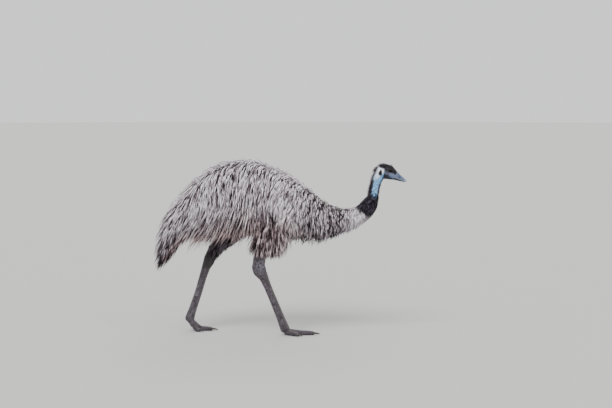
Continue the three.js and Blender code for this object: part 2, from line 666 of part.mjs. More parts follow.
function buildHead() {
  let head = headSolid(0);
  for (const sign of [1, -1]) {
    const name = sign > 0 ? "left" : "right";
    const at = [EYE.forward, EYE.up, sign * EYE.side];
    head = head.add(lids(sign)).subtract(headBall(...at, Array(3).fill(EYE.radius + GAP)));
    nodes.set(`eye_${name}`, headBall(...at, Array(3).fill(EYE.radius)));
    const ear = earBall(sign * EAR.side, 0);
    head = head.subtract(ear);
    nodes.set("neck_upper", largest(nodes.get("neck_upper").subtract(ear)));
    const cup = earBall(sign * EAR.side, GAP).subtract(earBall(sign * EAR.hollow, EAR.wall));
    nodes.set(`ear_${name}`, largest(cup.subtract(outsideBox(sign))));
    head = head.subtract(mouthGroove(sign));
  }
  nodes.set("head", largest(head));
  let upper = loft(headSections(BILL_UPPER_ROWS), 13, { endTip: 2 });
  const nostril = [NOSTRIL.long, NOSTRIL.deep, NOSTRIL.high];
  for (const side of [NOSTRIL.side, -NOSTRIL.side]) {
    upper = upper.subtract(headBall(NOSTRIL.forward, NOSTRIL.up, side, nostril, [9, 6]));
  }
  nodes.set("bill_upper", upper);
  nodes.set("bill_lower", loft(headSections(BILL_LOWER_ROWS), 12, { endTip: 2 }));
}

function lids(sign) {
  const ring = new THREE.TorusGeometry(LID.radius, LID.thick, 4, 14).rotateX(Math.PI / 2);
  ring.scale(LID.long, 1, LID.high).applyMatrix4(turned);
  ring.translate(...headPoint(EYE.forward, EYE.up, sign * LID.side).toArray());
  return solidOf(ring);
}

// The form of the ear opening, drawn in by a distance all round.
function earBall(side, less) {
  return headBall(EAR.forward, EAR.up, side, [EAR.wide - less, EAR.deep - less, EAR.long - less]);
}

// A block that takes away all that stands further out than the rim of the ear.
function outsideBox(sign) {
  const [size, depth] = [80, 40];
  const block = new THREE.BoxGeometry(size, depth, size);
  const side = sign * (EAR.rim + depth / 2);
  block.applyMatrix4(turned).translate(...headPoint(EAR.forward, EAR.up, side).toArray());
  return solidOf(block);
}

// The line of the mouth, cut back along the cheek from the bill to below the eye.
function mouthGroove(sign) {
  const block = new THREE.BoxGeometry(MOUTH.long, MOUTH.deep, MOUTH.high).rotateY(MOUTH.tilt);
  block.applyMatrix4(turned).translate(...headPoint(MOUTH.forward, MOUTH.up, sign * MOUTH.side).toArray());
  return solidOf(block);
}

const floorBlock = solidOf(new THREE.BoxGeometry(3000, 3000, 200).translate(0, 0, -100));

// A round section standing across a direction on the ground plan.
function toeSection(origin, yaw, out, z, r, slope) {
  const flat = vec(Math.cos(yaw), Math.sin(yaw), 0);
  const along = vec(flat.x * Math.cos(slope), flat.y * Math.cos(slope), -Math.sin(slope));
  const side = vec(-flat.y, flat.x, 0);
  const c = vec(origin.x + flat.x * out, origin.y + flat.y * out, z);
  return { c, along, side, back: along.clone().cross(side), up: r, down: r, half: r * TOE_BREADTH };
}

// A toe's sections from its stops, with a plate standing out over the next at each step.
function toeSections(origin, yaw, stops, plates) {
  const at = (t) => {
    const [out, z, r] = ["out", "z", "r"].map((key) => smooth(stops.map((stop) => stop[key]), t));
    return { out, z, r };
  };
  const last = stops.length - 1;
  const section = (t, raise) => {
    const { out, z, r } = at(t);
    const [a, b] = [at(Math.max(t - 0.2, 0)), at(Math.min(t + 0.2, last))];
    return { ...toeSection(origin, yaw, out, z, r, Math.atan2(a.z - b.z, b.out - a.out)), raise };
  };
  return Array.from({ length: plates }, (_, k) => {
    const [from, to] = [(last * k) / plates, (last * (k + TOE_SCUTES.cover)) / plates];
    return [section(from, 0), section(to, TOE_SCUTES.raise)];
  }).flat();
}

function buildLeg(name) {
  const { sign, tarsus, toes: shapes } = legs[name];
  const rows = [
    ...sectionsOf(tarsus, 0, SCUTES.from, 4),
    ...scuteSections(tarsus, SCUTES.from + 0.1, SCUTES.to, SCUTES.count, SCUTES.raise),
    ...sectionsOf(tarsus, SCUTES.to + 0.1, tarsus.last, 3),
  ];
  const shank = (grow) => loft(rows, 9, { grow });
  const drumstick = coats[`thigh_${name}`].room();
  nodes.set(`tarsus_${name}`, largest(shank(0).subtract(drumstick).subtract(floorBlock)));
  const ball = tarsus.middle(8);
  const yaws = { inner: -sign * TOE_SPLAY, middle: 0, outer: sign * TOE_SPLAY };
  const toes = [];
  for (const [toe, yaw] of Object.entries(yaws)) {
    const kind = toe === "middle" ? "middle" : "side";
    const stops = shapes[kind];
    const make = (grow) => loft(toeSections(ball, yaw, stops, TOE_SCUTES[kind]), 8, { grow, endTip: 4 });
    toes.push(make(0));
    const end = stops[stops.length - 1];
    const rings = CLAW_RINGS.map(({ share, up, thick, slope }) =>
      toeSection(ball, yaw, end.out + CLAW[kind] * share, end.z + up, end.r * thick, slope),
    );
    const claw = loft(rings, 8, { endTip: 5 });
    nodes.set(`claw_${name}_${toe}`, largest(claw.subtract(make(GAP)).subtract(floorBlock)));
  }
  nodes.set(`foot_${name}`, largest(union(toes).subtract(shank(GAP)).subtract(floorBlock)));
}

buildCoats();
buildHead();
buildLeg("right");
buildLeg("left");

function material(color, roughness) {
  return new THREE.MeshStandardMaterial({ color, roughness, metalness: 0 });
}

const FINISH = {
  coat: material(0x7d706b, 0.9),
  dark: material(0x1d1a1c, 0.85),
  blue: material(0x8fb4cf, 0.6),
  bill: material(0x5d636e, 0.45),
  eye: material(0x2a1408, 0.1),
  leg: material(0x5a5350, 0.7),
  claw: material(0x2e2a29, 0.4),
};

function finishOf(name) {
  if (name.startsWith("eye")) return FINISH.eye;
  if (name.startsWith("bill")) return FINISH.bill;
  if (name.startsWith("claw")) return FINISH.claw;
  if (name.startsWith("foot") || name.startsWith("tarsus")) return FINISH.leg;
  if (name === "head" || name === "neck_ruff") return FINISH.dark;
  if (name === "neck_upper" || name.startsWith("ear")) return FINISH.blue;
  return FINISH.coat;
}

// A solid back as a three.js mesh.
function meshOf(name, solid) {
  const mesh = solid.getMesh();
  const position = new Float32Array(mesh.numVert * 3);
  for (let i = 0; i < mesh.numVert; i++) {
    position.set(mesh.vertProperties.subarray(i * mesh.numProp, i * mesh.numProp + 3), i * 3);
  }
  const geometry = new THREE.BufferGeometry()
    .setAttribute("position", new THREE.BufferAttribute(position, 3))
    .setIndex(new THREE.BufferAttribute(mesh.triVerts, 1));
  geometry.computeVertexNormals();
  const made = new THREE.Mesh(geometry, finishOf(name));
  made.name = name;
  return made;
}

const emu = new THREE.Group();
for (const [name, solid] of nodes) emu.add(meshOf(name, solid));

// The origin is under the middle of the bird's outline, on the floor.
const box = new THREE.Box3().setFromObject(emu);
const middle = box.getCenter(vec(0, 0, 0));
emu.position.set(-middle.x, -middle.y, -box.min.z);

export default emu;
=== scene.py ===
"""The looks of a life-size emu that walks with its neck held low, as a still museum model.

Metres, +X towards the bill, +Y to the bird's left, +Z up, with the floor at z = 0. The stations of the
trunk and the limbs are those of the solids, and the bird stands where the solids' eyes say.
"""

import logging
import math
from dataclasses import dataclass, field
from enum import Enum
from typing import Any

import bmesh
import bpy
import numpy as np
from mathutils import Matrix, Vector


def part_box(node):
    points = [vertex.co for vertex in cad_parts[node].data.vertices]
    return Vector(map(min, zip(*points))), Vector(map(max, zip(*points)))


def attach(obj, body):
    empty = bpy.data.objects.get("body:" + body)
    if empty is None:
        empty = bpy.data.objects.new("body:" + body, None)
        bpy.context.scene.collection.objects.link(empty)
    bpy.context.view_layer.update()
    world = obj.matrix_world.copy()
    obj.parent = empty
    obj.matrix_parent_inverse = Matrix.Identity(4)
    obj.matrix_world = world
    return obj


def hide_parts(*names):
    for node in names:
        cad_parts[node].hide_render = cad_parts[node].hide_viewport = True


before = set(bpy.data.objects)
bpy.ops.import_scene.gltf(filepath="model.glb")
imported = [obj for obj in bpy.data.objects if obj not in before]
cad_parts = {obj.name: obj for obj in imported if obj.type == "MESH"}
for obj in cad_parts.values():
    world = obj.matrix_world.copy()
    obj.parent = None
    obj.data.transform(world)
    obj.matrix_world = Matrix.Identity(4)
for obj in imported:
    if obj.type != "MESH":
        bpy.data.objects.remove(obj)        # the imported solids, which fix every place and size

Array = np.ndarray
Object = bpy.types.Object
Material = bpy.types.Material
Random = np.random.Generator
log = logging.getLogger("emu")

BODY = "root"
BAKE_MAP = "OFBake"
BAKE_PATCH = 0.003
GOLDEN_ANGLE = math.pi * (3 - math.sqrt(5))
SIDEWAYS = (0.0, 1.0, 0.0)


@dataclass(frozen=True)
class Station:
    """A place along a limb: its middle, its reach up, down and sideways, its coat's depth and its sweep."""

    x: float
    y: float
    z: float
    up: float
    down: float
    half: float
    lift: float = 0.0
    sweep: float = 1.0


def metres(*rows: tuple[float, ...]) -> tuple[tuple[float, ...], ...]:
    """Rows of millimetres in metres."""
    return tuple(tuple(size / 1000 for size in row) for row in rows)


def limb_of(*rows: tuple[float, ...]) -> tuple[Station, ...]:
    """A limb's stations, each from its places and sizes in millimetres and, last in the row, its sweep."""
    return tuple(Station(*metres(row[:-1])[0], row[-1]) for row in rows)


TRUNK = limb_of(
    (-699, 0, 489, 36, 34, 27, 20, 0.9),
    (-669, 0, 555, 68, 58, 54, 21, 0.8),
    (-621, 0, 621, 98, 78, 82, 22, 0.66),
    (-555, 0, 675, 132, 98, 115, 23, 0.54),
    (-471, 0, 726, 170, 125, 148, 24, 0.44),
    (-375, 0, 778, 209, 155, 179, 24, 0.32),
    (-279, 0, 813, 225, 172, 196, 24, 0.22),
    (-177, 0, 825, 226, 184, 201, 24, 0.12),
    (-87, 0, 814, 200, 190, 191, 24, 0.03),
    (9, 0, 774, 182, 175, 167, 23, -0.06),
    (105, 0, 733, 161, 152, 137, 22, -0.08),
    (198, 0, 699, 134, 122, 109, 20, -0.02),
    (285, 0, 684, 107, 90, 81, 17, 0.05),
    (372, 0, 692, 76, 62, 59, 15, 0.16),
    (453, 0, 708, 55, 45, 45, 13, 0.3),
    (495, 0, 732, 42, 41, 41, 12, 0.5),
    (531, 0, 771, 40, 42, 38, 11, 0.6),
    (557, 0, 816, 33, 36, 32, 8, 0.8),
    (567, 0, 858, 33, 33, 29, 3, 1),
    (576, 0, 900, 32, 32, 28, 3, 1),
    (591, 0, 942, 36, 36, 31, 3, 1),
    (612, 0, 972, 34, 34, 29, 3, 1),
)
WING = limb_of(
    (78, 148, 800, 26, 26, 14, 5, 1),
    (60, 166, 760, 32, 32, 18, 6, 1),
    (40, 172, 715, 32, 32, 17, 7, 1),
    (24, 170, 672, 24, 24, 12, 8, 1),
    (12, 164, 636, 12, 12, 7, 8, 1),
)
THIGH_RIGHT = limb_of(
    (-15, 104, 735, 88, 98, 56, 16, 0),
    (-38, 104, 655, 88, 95, 58, 16, 0),
    (-58, 101, 592, 84, 86, 56, 16, 0),
    (-82, 97, 537, 60, 60, 47, 13, 0),
    (-106, 90, 484, 32, 48, 36, 4, 0),
    (-115, 86, 434, 28, 45, 29, 3, 0),
)
THIGH_LEFT = limb_of(
    (-189, 104, 735, 85, 85, 56, 14, 0),
    (-240, 104, 665, 72, 76, 55, 14, 0),
    (-298, 101, 600, 57, 58, 48, 12, 0),
    (-352, 96, 547, 46, 47, 41, 8, 0),
    (-396, 90, 497, 38, 40, 35, 5, 0),
    (-409, 87, 472, 33, 36, 29.5, 5, 0),
)
TARSUS_RIGHT = limb_of(
    (-114, 86, 436, 28, 45, 28, 0, 1),
    (-117, 84, 412, 35, 48, 30, 0, 1),
    (-114, 83, 385, 38, 41, 28, 0, 1),
    (-96, 81, 350, 28, 27, 22, 0, 1),
    (-70, 79, 290, 23, 22, 18, 0, 1),
    (-33, 76, 200, 23, 22, 17, 0, 1),
    (3, 73, 110, 24, 23, 18.5, 0, 1),
    (22, 71, 62, 26, 26, 22, 0, 1),
    (33, 70, 34, 27, 27, 25, 0, 1),
    (38, 70, 22, 20, 20, 19, 0, 1),
)
TARSUS_LEFT = limb_of(
    (-408, 87, 474, 30, 34, 28, 0, 1),
    (-424, 84, 450, 33, 38, 28, 0, 1),
    (-438, 82, 425, 35, 32, 26, 0, 1),
    (-453, 80, 392, 27, 25, 22, 0, 1),
    (-473, 78, 330, 23, 22, 18, 0, 1),
    (-501, 75, 235, 22, 22, 17, 0, 1),
    (-530, 73, 150, 23, 23, 18.5, 0, 1),
    (-546, 71, 102, 25, 26, 22, 0, 1),
    (-555, 70, 74, 27, 27, 25, 0, 1),
    (-557, 70, 60, 18, 18, 18, 0, 1),
)
# Each toe from the ball of the foot: how far out, how high its middle, and its half thickness.
TOE_FLAT = {
    "middle": metres((4, 22, 19), (45, 17, 17.5), (95, 13, 15.5), (140, 12, 14), (172, 10, 11.5)),
    "side": metres((4, 20, 17), (38, 15, 15), (70, 12, 13.5), (96, 9.5, 10.5)),
}
TOE_RAISED = {
    "middle": metres((4, 66, 19), (34, 38, 17.5), (66, 16, 15.5), (105, 12, 14), (137, 10, 11.5)),
    "side": metres((4, 64, 17), (30, 34, 15), (54, 14, 13.5), (78, 9.5, 10.5)),
}
# How square the sections are above and below, from 2 for an ellipse.
TRUNK_POWER = (1.85, 2.1)
ROUND = (2.0, 2.0)
# How far the crease is rounded off where one limb runs into another.
CREASE = 0.014


class Side(Enum):
    """Which of a pair, as its sign along Y."""

    RIGHT = -1
    LEFT = 1

    @property
    def word(self) -> str:
        """The word that names it in a piece."""
        return self.name.lower()


def unit(v: Array) -> Array:
    """Vectors at length 1."""
    return v / np.maximum(np.linalg.norm(v, axis=-1, keepdims=True), 1e-12)


def dot(a: Array, b: Array) -> Array:
    """The dot product of vectors, one number each."""
    return (a * b).sum(-1)


def smoothstep(x: Array, low: float, high: float) -> Array:
    """A soft step from 0 at low to 1 at high."""
    f = np.clip((x - low) / (high - low), 0.0, 1.0)
    return f * f * (3 - 2 * f)


def fading(x: Array, low: float, high: float) -> Array:
    """A soft step from 1 at low to 0 at high."""
    return 1 - smoothstep(x, low, high)


def hump(x: Array, middle: float, width: float) -> Array:
    """1 in the middle, fading softly to both sides over a width."""
    return np.exp(-((x - middle) / width)**2)


def spline(table: Array, t: Array) -> Array:
    """Catmull-Rom values through a table's rows.

    Args:
        table: One row of numbers for each station.
        t: Shares, in stations from the first.

    Returns:
        One row for each share.
    """
    padded = np.vstack([2 * table[0] - table[1], table, 2 * table[-1] - table[-2]])
    i = np.clip(np.floor(t).astype(int), 0, len(table) - 2)
    f = (t - i)[:, None]
    a, b, c, d = padded[i], padded[i + 1], padded[i + 2], padded[i + 3]
    return 0.5 * (2 * b + (c - a) * f + (2 * a - 5 * b + 4 * c - d) * f**2 + (3 * b - a - 3 * c + d) * f**3)


@dataclass
class Sections:
    """Cross sections along a limb, one row each."""

    c: Array
    along: Array
    side: Array
    back: Array
    up: Array
    down: Array
    half: Array
    lift: Array
    sweep: Array


class Limb:
    """A long round form through stations, such as the trunk, a leg or a wing.

    flow is 1 where its feathers lie towards its last station and -1 where they lie towards its first.
    """

    STEPS = 12
    TURN_STEP = 0.02
    SPAN_STEP = 0.05
    SLOPE_STEP = 0.002

    def __init__(self, stations: tuple[Station, ...], place: Vector, sign: int = 1, flow: float = 1.0,
                 power: tuple[float, float] = ROUND, drop: float = 0.0) -> None:
        """Sets the stations at their place in the frame.

        Args:
            stations: The stations, as if at the bird's left.
            place: What moves them to the frame's origin.
            sign: -1 for a limb on the right.
            flow: Which way the feathers lie.
            power: How square the sections are above and below.
            drop: How straight down its feathers hang, from 0 to 1, where they don't lie as on the trunk.
        """
        rows = [[s.x, sign * s.y, s.z, s.up, s.down, s.half, s.lift, s.sweep] for s in stations]
        self.table = np.array(rows)
        self.table[:, :3] += np.array(place)
        self.flow = flow
        self.power = power
        self.drop = drop
        self.last = len(stations) - 1
        self.steps = np.linspace(0, self.last, self.last * self.STEPS + 1)
        values = spline(self.table, self.steps)
        self.line = values[:, :3]
        girth = math.pi * (values[:, 3] + values[:, 5])
        pieces = np.linalg.norm(np.diff(self.line, axis=0), axis=1) * girth[1:]
        self.area = np.concatenate([[0.0], np.cumsum(pieces)])

    def ahead(self, t: Array, step: float) -> Array:
        """The way from a step before shares of the limb to a step past them."""
        return (spline(self.table, t + step) - spline(self.table, t - step))[:, :3]

    def sections(self, t: Array) -> Sections:
        """The cross sections at shares of the limb."""
        values = spline(self.table, t)
        along = unit(self.ahead(t, self.TURN_STEP))
        side = unit(np.array(SIDEWAYS) - along * along[:, 1:2])
        return Sections(values[:, :3], along, side, np.cross(along, side), *values[:, 3:].T)

    def nearest(self, p: Array) -> Array:
        """The shares of the limb nearest to points."""
        far = (self.line**2).sum(1) - 2 * p @ self.line.T
        t = self.steps[np.argmin(far, axis=1)]
        s = self.sections(t)
        span = np.linalg.norm(self.ahead(t, self.SPAN_STEP), axis=1) / (2 * self.SPAN_STEP)
        return np.clip(t + dot(p - s.c, s.along) / span, 0, self.last)

    def around(self, p: Array) -> tuple[Array, Sections, Array]:
        """The shares of the limb nearest to points, the sections there and the ways out to the points."""
        t = self.nearest(p)
        s = self.sections(t)
        return t, s, p - s.c

    def height(self, p: Array) -> Array:
        """How far points lie over the solids' core, whose ends are round.

        Args:
            p: The points.

        Returns:
            One height for each, less than 0 inside the core.
        """
        _, s, away = self.around(p)
        far = np.maximum(np.linalg.norm(away, axis=1), 0.001)
        a, b, past = dot(away, s.back), dot(away, s.side), dot(away, s.along)
        n = np.where(a >= 0, *self.power)
        tall = np.where(a >= 0, s.up, s.down)
        full = np.abs(a / tall)**n + np.abs(b / s.half)**n + np.abs(past / s.half)**n
        return far * (1 - np.maximum(full, 1e-9)**(-1 / n))

    def point_at(self, t: Array, angle: Array, inset: float = 0.0) -> Array:
        """Points of the skin.

        Args:
            t: Shares along the limb.
            angle: Angles round it from the back.
            inset: The share of the coat's depth by which the point lies inside the core.

        Returns:
            One point for each share and angle.
        """
        s = self.sections(t)
        a, b = np.cos(angle), np.sin(angle)
        n = np.where(a >= 0, *self.power)
        tall = np.where(a >= 0, s.up, s.down)
        r = (np.abs(a / tall)**n + np.abs(b / s.half)**n)**(-1 / n) - inset * s.lift
        return s.c + s.back * (a * r)[:, None] + s.side * (b * r)[:, None]

    def share_at(self, area: Array) -> Array:
        """The shares at which the skin from the first station on reaches an area."""
        return np.interp(area, self.area, self.steps)

    def area_at(self, t: float) -> float:
        """The skin's area from the first station to a share."""
        return float(np.interp(t, self.steps, self.area))

    def lie(self, p: Array, normal: Array, under: Array) -> Array:
        """The way the feathers lie.

        They part along the back, fall down the flanks, hang free below and are swept along underneath.

        Args:
            p: Points over the limb.
            normal: The way out at each.
            under: How far underneath each is, from 0 to 1.

        Returns:
            One way for each point.
        """
        _, s, away = self.around(p)
        flow = s.along * self.flow
        fall = unit(np.cross(normal, flow))
        flow = unit(flow - normal * np.minimum(dot(flow, normal), 0)[:, None])
        down = np.array([0.0, 0.0, -1.0])
        if self.drop:
            return unit(flow * (1 - self.drop) + down * self.drop)
        outwards = dot(fall, s.side) * np.sign(dot(away, s.side)) * np.maximum(normal[:, 2], 0)
        fall *= np.where(outwards - fall[:, 2] < 0, -1.0, 1.0)[:, None]
        steep = np.abs(fall[:, 2])
        flat = fading(steep, 0.05, 0.75)
        free = smoothstep(-normal[:, 2], -0.05, 0.25)[:, None]
        fall = unit(fall * (1 - free) + down * free)
        swept = (s.sweep + (1 - s.sweep) * np.maximum(under, 0.72 * flat * (1 - free[:, 0])))[:, None]
        return unit(flow * swept + fall * (1 - swept))


def height_over(limbs: list[Limb], p: Array) -> Array:
    """How far points lie over several limbs, rounded off where one runs into another."""
    return -CREASE * np.log(sum(np.exp(-limb.height(p) / CREASE) for limb in limbs))


def normal_over(limbs: list[Limb], p: Array) -> Array:
    """The way out of several limbs at points."""
    axes = np.eye(3) * Limb.SLOPE_STEP
    slopes = [height_over(limbs, p + axis) - height_over(limbs, p - axis) for axis in axes]
    return unit(np.stack(slopes, axis=1))


def turned_about(v: Array, axis: Array, angle: Array) -> Array:
    """Vectors turned about axes of length 1 by angles in radians."""
    c, s = np.cos(angle)[:, None], np.sin(angle)[:, None]
    return v * c + np.cross(axis, v) * s + axis * (dot(axis, v)[:, None] * (1 - c))


def linked(name: str, data: Any) -> Object:
    """A new object of data, in the scene."""
    made = bpy.data.objects.new(name, data)
    bpy.context.scene.collection.objects.link(made)
    return made


def mesh_object(name: str, points: Array, faces: list | Array) -> Object:
    """A mesh object of points and faces, linked to the scene.

    Args:
        name: The object's name.
        points: One row for each point.
        faces: Each face's corners, all triangles where it is an array.

    Returns:
        The object, at the origin.
    """
    mesh = bpy.data.meshes.new(name)
    if isinstance(faces, np.ndarray):
        mesh.vertices.add(len(points))
        mesh.vertices.foreach_set("co", points.astype(np.float32).ravel())
        mesh.loops.add(faces.size)
        mesh.loops.foreach_set("vertex_index", faces.astype(np.int32).ravel())
        mesh.polygons.add(len(faces))
        mesh.polygons.foreach_set("loop_start", np.arange(0, faces.size, faces.shape[1], dtype=np.int32))
        mesh.update(calc_edges=True)
    else:
        mesh.from_pydata([tuple(p) for p in points], [], [tuple(int(i) for i in f) for f in faces])
    mesh.shade_smooth()
    return linked(name, mesh)


def read(data: Any, key: str, width: int) -> Array:
    """What a collection of a mesh's data holds, as one row of a width for each item."""
    flat = np.empty(len(data) * width, np.float32)
    data.foreach_get(key, flat)
    return flat.reshape(-1, width)


def places_of(piece: Object) -> Array:
    """The points of a piece's mesh."""
    return read(piece.data.vertices, "co", 3).astype(float)


def normals_of(piece: Object) -> Array:
    """The way out at each point of a piece's mesh."""
    return read(piece.data.vertex_normals, "vector", 3).astype(float)


def move_points(piece: Object, points: Array) -> None:
    """Puts the points of a piece's mesh in new places."""
    piece.data.vertices.foreach_set("co", points.astype(np.float32).ravel())
    piece.data.update()


def give(piece: Object, name: str, values: Array) -> None:
    """Stores a number or a vector for each point of a piece.

    Args:
        piece: The piece.
        name: The attribute's name.
        values: One number, or one row of three, for each point.
    """
    kind, field = ("FLOAT", "value") if values.ndim == 1 else ("FLOAT_VECTOR", "vector")
    made = piece.data.attributes.new(name, kind, "POINT")
    made.data.foreach_set(field, values.astype(np.float32).ravel())


def map_faces(piece: Object, places: Array, corners: Array) -> None:
    """Gives a piece its map for baking, from each point's place on it and the point at each corner."""
    layer = piece.data.uv_layers.new(name=BAKE_MAP)
    layer.data.foreach_set("uv", places[corners].astype(np.float32).ravel())


def plain(piece: Object) -> Object:
    """Turns a piece's modifiers into a plain mesh.

    Args:
        piece: The piece.

    Returns:
        The same piece.
    """
    bpy.context.view_layer.update()
    graph = bpy.context.evaluated_depsgraph_get()
    seen = piece.evaluated_get(graph)
    made = bpy.data.meshes.new_from_object(seen, preserve_all_data_layers=True, depsgraph=graph)
    piece.modifiers.clear()
    piece.data = made
    made.name = piece.name
    return piece


def modified(piece: Object, kind: str, **settings: Any) -> Object:
    """The piece with one modifier added and turned into a plain mesh.

    Args:
        piece: The piece.
        kind: The modifier's type.
        settings: What is set on it.

    Returns:
        The same piece.
    """
    added = piece.modifiers.new(kind.lower(), kind)
    for key, value in settings.items():
        setattr(added, key, value)
    return plain(piece)


def poured(name: str, shape: bmesh.types.BMesh) -> Object:
    """An object of a shape that was built point by point, which is then freed."""
    mesh = bpy.data.meshes.new(name)
    shape.to_mesh(mesh)
    shape.free()
    return linked(name, mesh)


def joined(pieces: list[Object], name: str) -> Object:
    """Several pieces as one mesh, with nothing fused.

    Args:
        pieces: The pieces, which are used up.
        name: The new one's name.

    Returns:
        The new piece.
    """
    shape = bmesh.new()
    for piece in pieces:
        shape.from_mesh(piece.data)
        bpy.data.objects.remove(piece)
    made = poured(name, shape)
    made.data.shade_smooth()
    return made


def ball(name: str, fineness: int, radius: float, middle: Vector) -> Object:
    """An even ball of triangles.

    Args:
        name: The object's name.
        fineness: How often its faces are split.
        radius: Its radius.
        middle: Its middle.

    Returns:
        The object.
    """
    shape = bmesh.new()
    bmesh.ops.create_icosphere(shape, subdivisions=fineness, radius=radius)
    bmesh.ops.translate(shape, verts=shape.verts, vec=middle)
    return poured(name, shape)


def cut(piece: Object, tool: Object, how: str = "DIFFERENCE") -> Object:
    """The piece cut by, or fused with, another, which is then gone."""
    modified(piece, "BOOLEAN", operation=how, solver="MANIFOLD", object=tool)
    bpy.data.objects.remove(tool)
    piece.data.shade_smooth()
    return piece


def band(count: int, sides: int, closed: bool = False) -> list[tuple[int, ...]]:
    """The faces of a band over rings of points.

    Args:
        count: How many rings there are.
        sides: How many points each ring has.
        closed: Whether the last ring is joined to the first.

    Returns:
        Each face's corners.
    """
    faces = []
    for k in range(count if closed else count - 1):
        here, there = k * sides, (k + 1) % count * sides
        for j in range(sides):
            aside = (j + 1) % sides
            faces.append((here + j, here + aside, there + aside, there + j))
    return faces


def loft(name: str, rings: Array, tips: Array) -> Object:
    """A closed skin over rings of points, with a pole at each end.

    Args:
        name: The object's name.
        rings: Rings, round each the same number of points.
        tips: The first and the last pole.

    Returns:
        The object, with its faces outwards.
    """
    count, sides = rings.shape[:2]
    faces = band(count, sides)
    first, last = count * sides, count * sides + 1
    for j in range(sides):
        q = (j + 1) % sides
        faces.append((q, j, first))
        faces.append(((count - 1) * sides + j, (count - 1) * sides + q, last))
    made = mesh_object(name, np.vstack([rings.reshape(-1, 3), tips]), faces)
    outwards(made)
    return made


def outwards(piece: Object) -> None:
    """Turns a closed piece's faces outwards.

    Args:
        piece: The piece, whose faces are turned.
    """
    shape = bmesh.new()
    shape.from_mesh(piece.data)
    bmesh.ops.recalc_face_normals(shape, faces=shape.faces)
    if shape.calc_volume(signed=True) < 0:
        bmesh.ops.reverse_faces(shape, faces=shape.faces)
    shape.to_mesh(piece.data)
    shape.free()
    piece.data.update()


def section_rings(c: Array, back: Array, side: Array, up: Array, down: Array, half: Array, sides: int,
                  power: tuple[float, float] = ROUND) -> Array:
    """Rings of points round middles.

    Args:
        c: The middles.
        back: The way to each ring's back.
        side: The way to each ring's left.
        up: Each ring's reach to its back.
        down: Each ring's reach the other way.
        half: Each ring's half width.
        sides: How many points go round.
        power: How square the rings are above and below.

    Returns:
        An array of rings of points.
    """
    angle = np.linspace(0, 2 * math.pi, sides, endpoint=False)
    a, b = np.cos(angle)[None], np.sin(angle)[None]
    n = np.where(a >= 0, *power)
    tall = np.where(a >= 0, up[:, None], down[:, None])
    r = (np.abs(a / tall)**n + np.abs(b / half[:, None])**n)**(-1 / n)
    return c[:, None] + back[:, None] * (a * r)[..., None] + side[:, None] * (b * r)[..., None]


class Sum:
    """A node's output socket that takes part in written sums."""

    def __init__(self, tree: "Tree", socket: bpy.types.NodeSocket) -> None:
        """Wraps a socket of a tree."""
        self.tree = tree
        self.socket = socket

    def math(self, operation: str, *others: Any) -> "Sum":
        """A Math node on this socket and the others."""
        return self.tree.sums(operation, self, *others)

    def __add__(self, other: Any) -> "Sum":
        """self + other."""
        return self.math("ADD", other)

    __radd__ = __add__

    def __mul__(self, other: Any) -> "Sum":
        """self * other."""
        return self.math("MULTIPLY", other)

    __rmul__ = __mul__

    def __sub__(self, other: Any) -> "Sum":
        """self - other."""
        return self.math("SUBTRACT", other)

    def __rsub__(self, other: Any) -> "Sum":
        """other - self."""
        return self.tree.sums("SUBTRACT", other, self)

    def between(self, low: float, high: float) -> "Sum":
        """A soft step from 0 at low to 1 at high."""
        return self.tree.take("ShaderNodeMapRange", "Result", {"interpolation_type": "SMOOTHSTEP"},
                              {"Value": self, "From Min": low, "From Max": high})


class Tree:
    """A node tree whose sums are written as expressions."""

    def __init__(self, nodes: bpy.types.NodeTree) -> None:
        """Wraps a tree of nodes."""
        self.nodes = nodes

    def node(self, kind: str, settings: dict[str, Any], sockets: dict[str, Any]) -> bpy.types.Node:
        """A node with its settings and then its sockets.

        Args:
            kind: The node's type.
            settings: Its properties. stops holds a ramp's places and colours.
            sockets: Values or links by a socket's name or identifier.

        Returns:
            The node.
        """
        made = self.nodes.nodes.new(kind)
        for key, value in settings.items():
            if key == "stops":
                self.set_stops(made.color_ramp.elements, value)
            else:
                setattr(made, key, value)
        for key, value in sockets.items():
            self.feed(self.named(made.inputs, key), value)
        return made

    @staticmethod
    def named(sockets: Any, key: str) -> bpy.types.NodeSocket:
        """The socket of an identifier or else of a name."""
        return ([s for s in sockets if s.identifier == key] + [s for s in sockets if s.name == key])[0]

    def take(self, kind: str, output: str, settings: dict[str, Any], sockets: dict[str, Any]) -> Sum:
        """One output of a node that is made as node makes it, by its name or identifier."""
        made = self.node(kind, settings, sockets)
        return Sum(self, self.named(made.outputs, output))

    @staticmethod
    def set_stops(elements: Any, stops: tuple[tuple[float, str], ...]) -> None:
        """Sets a ramp's stops."""
        while len(elements) < len(stops):
            elements.new(1.0)
        for element, (at, code) in zip(elements, stops):
            element.position = at
            element.color = colour(code)

    def feed(self, socket: bpy.types.NodeSocket, value: Any) -> None:
        """Links a sum to a socket, or sets a plain value on it."""
        if isinstance(value, Sum):
            self.nodes.links.new(value.socket, socket)
        else:
            socket.default_value = value

    def sums(self, operation: str, *values: Any) -> Sum:
        """A Math node on sums or numbers."""
        sockets = dict(zip(("Value", "Value_001", "Value_002"), values))
        return self.take("ShaderNodeMath", "Value", {"operation": operation}, sockets)

    def vectors(self, operation: str, first: Any, second: Any) -> Sum:
        """A Vector Math node on two vectors, or on a vector and the number that scales it."""
        other = "Scale" if operation == "SCALE" else "Vector_001"
        sockets = {"Vector": first, other: second}
        return self.take("ShaderNodeVectorMath", "Vector", {"operation": operation}, sockets)


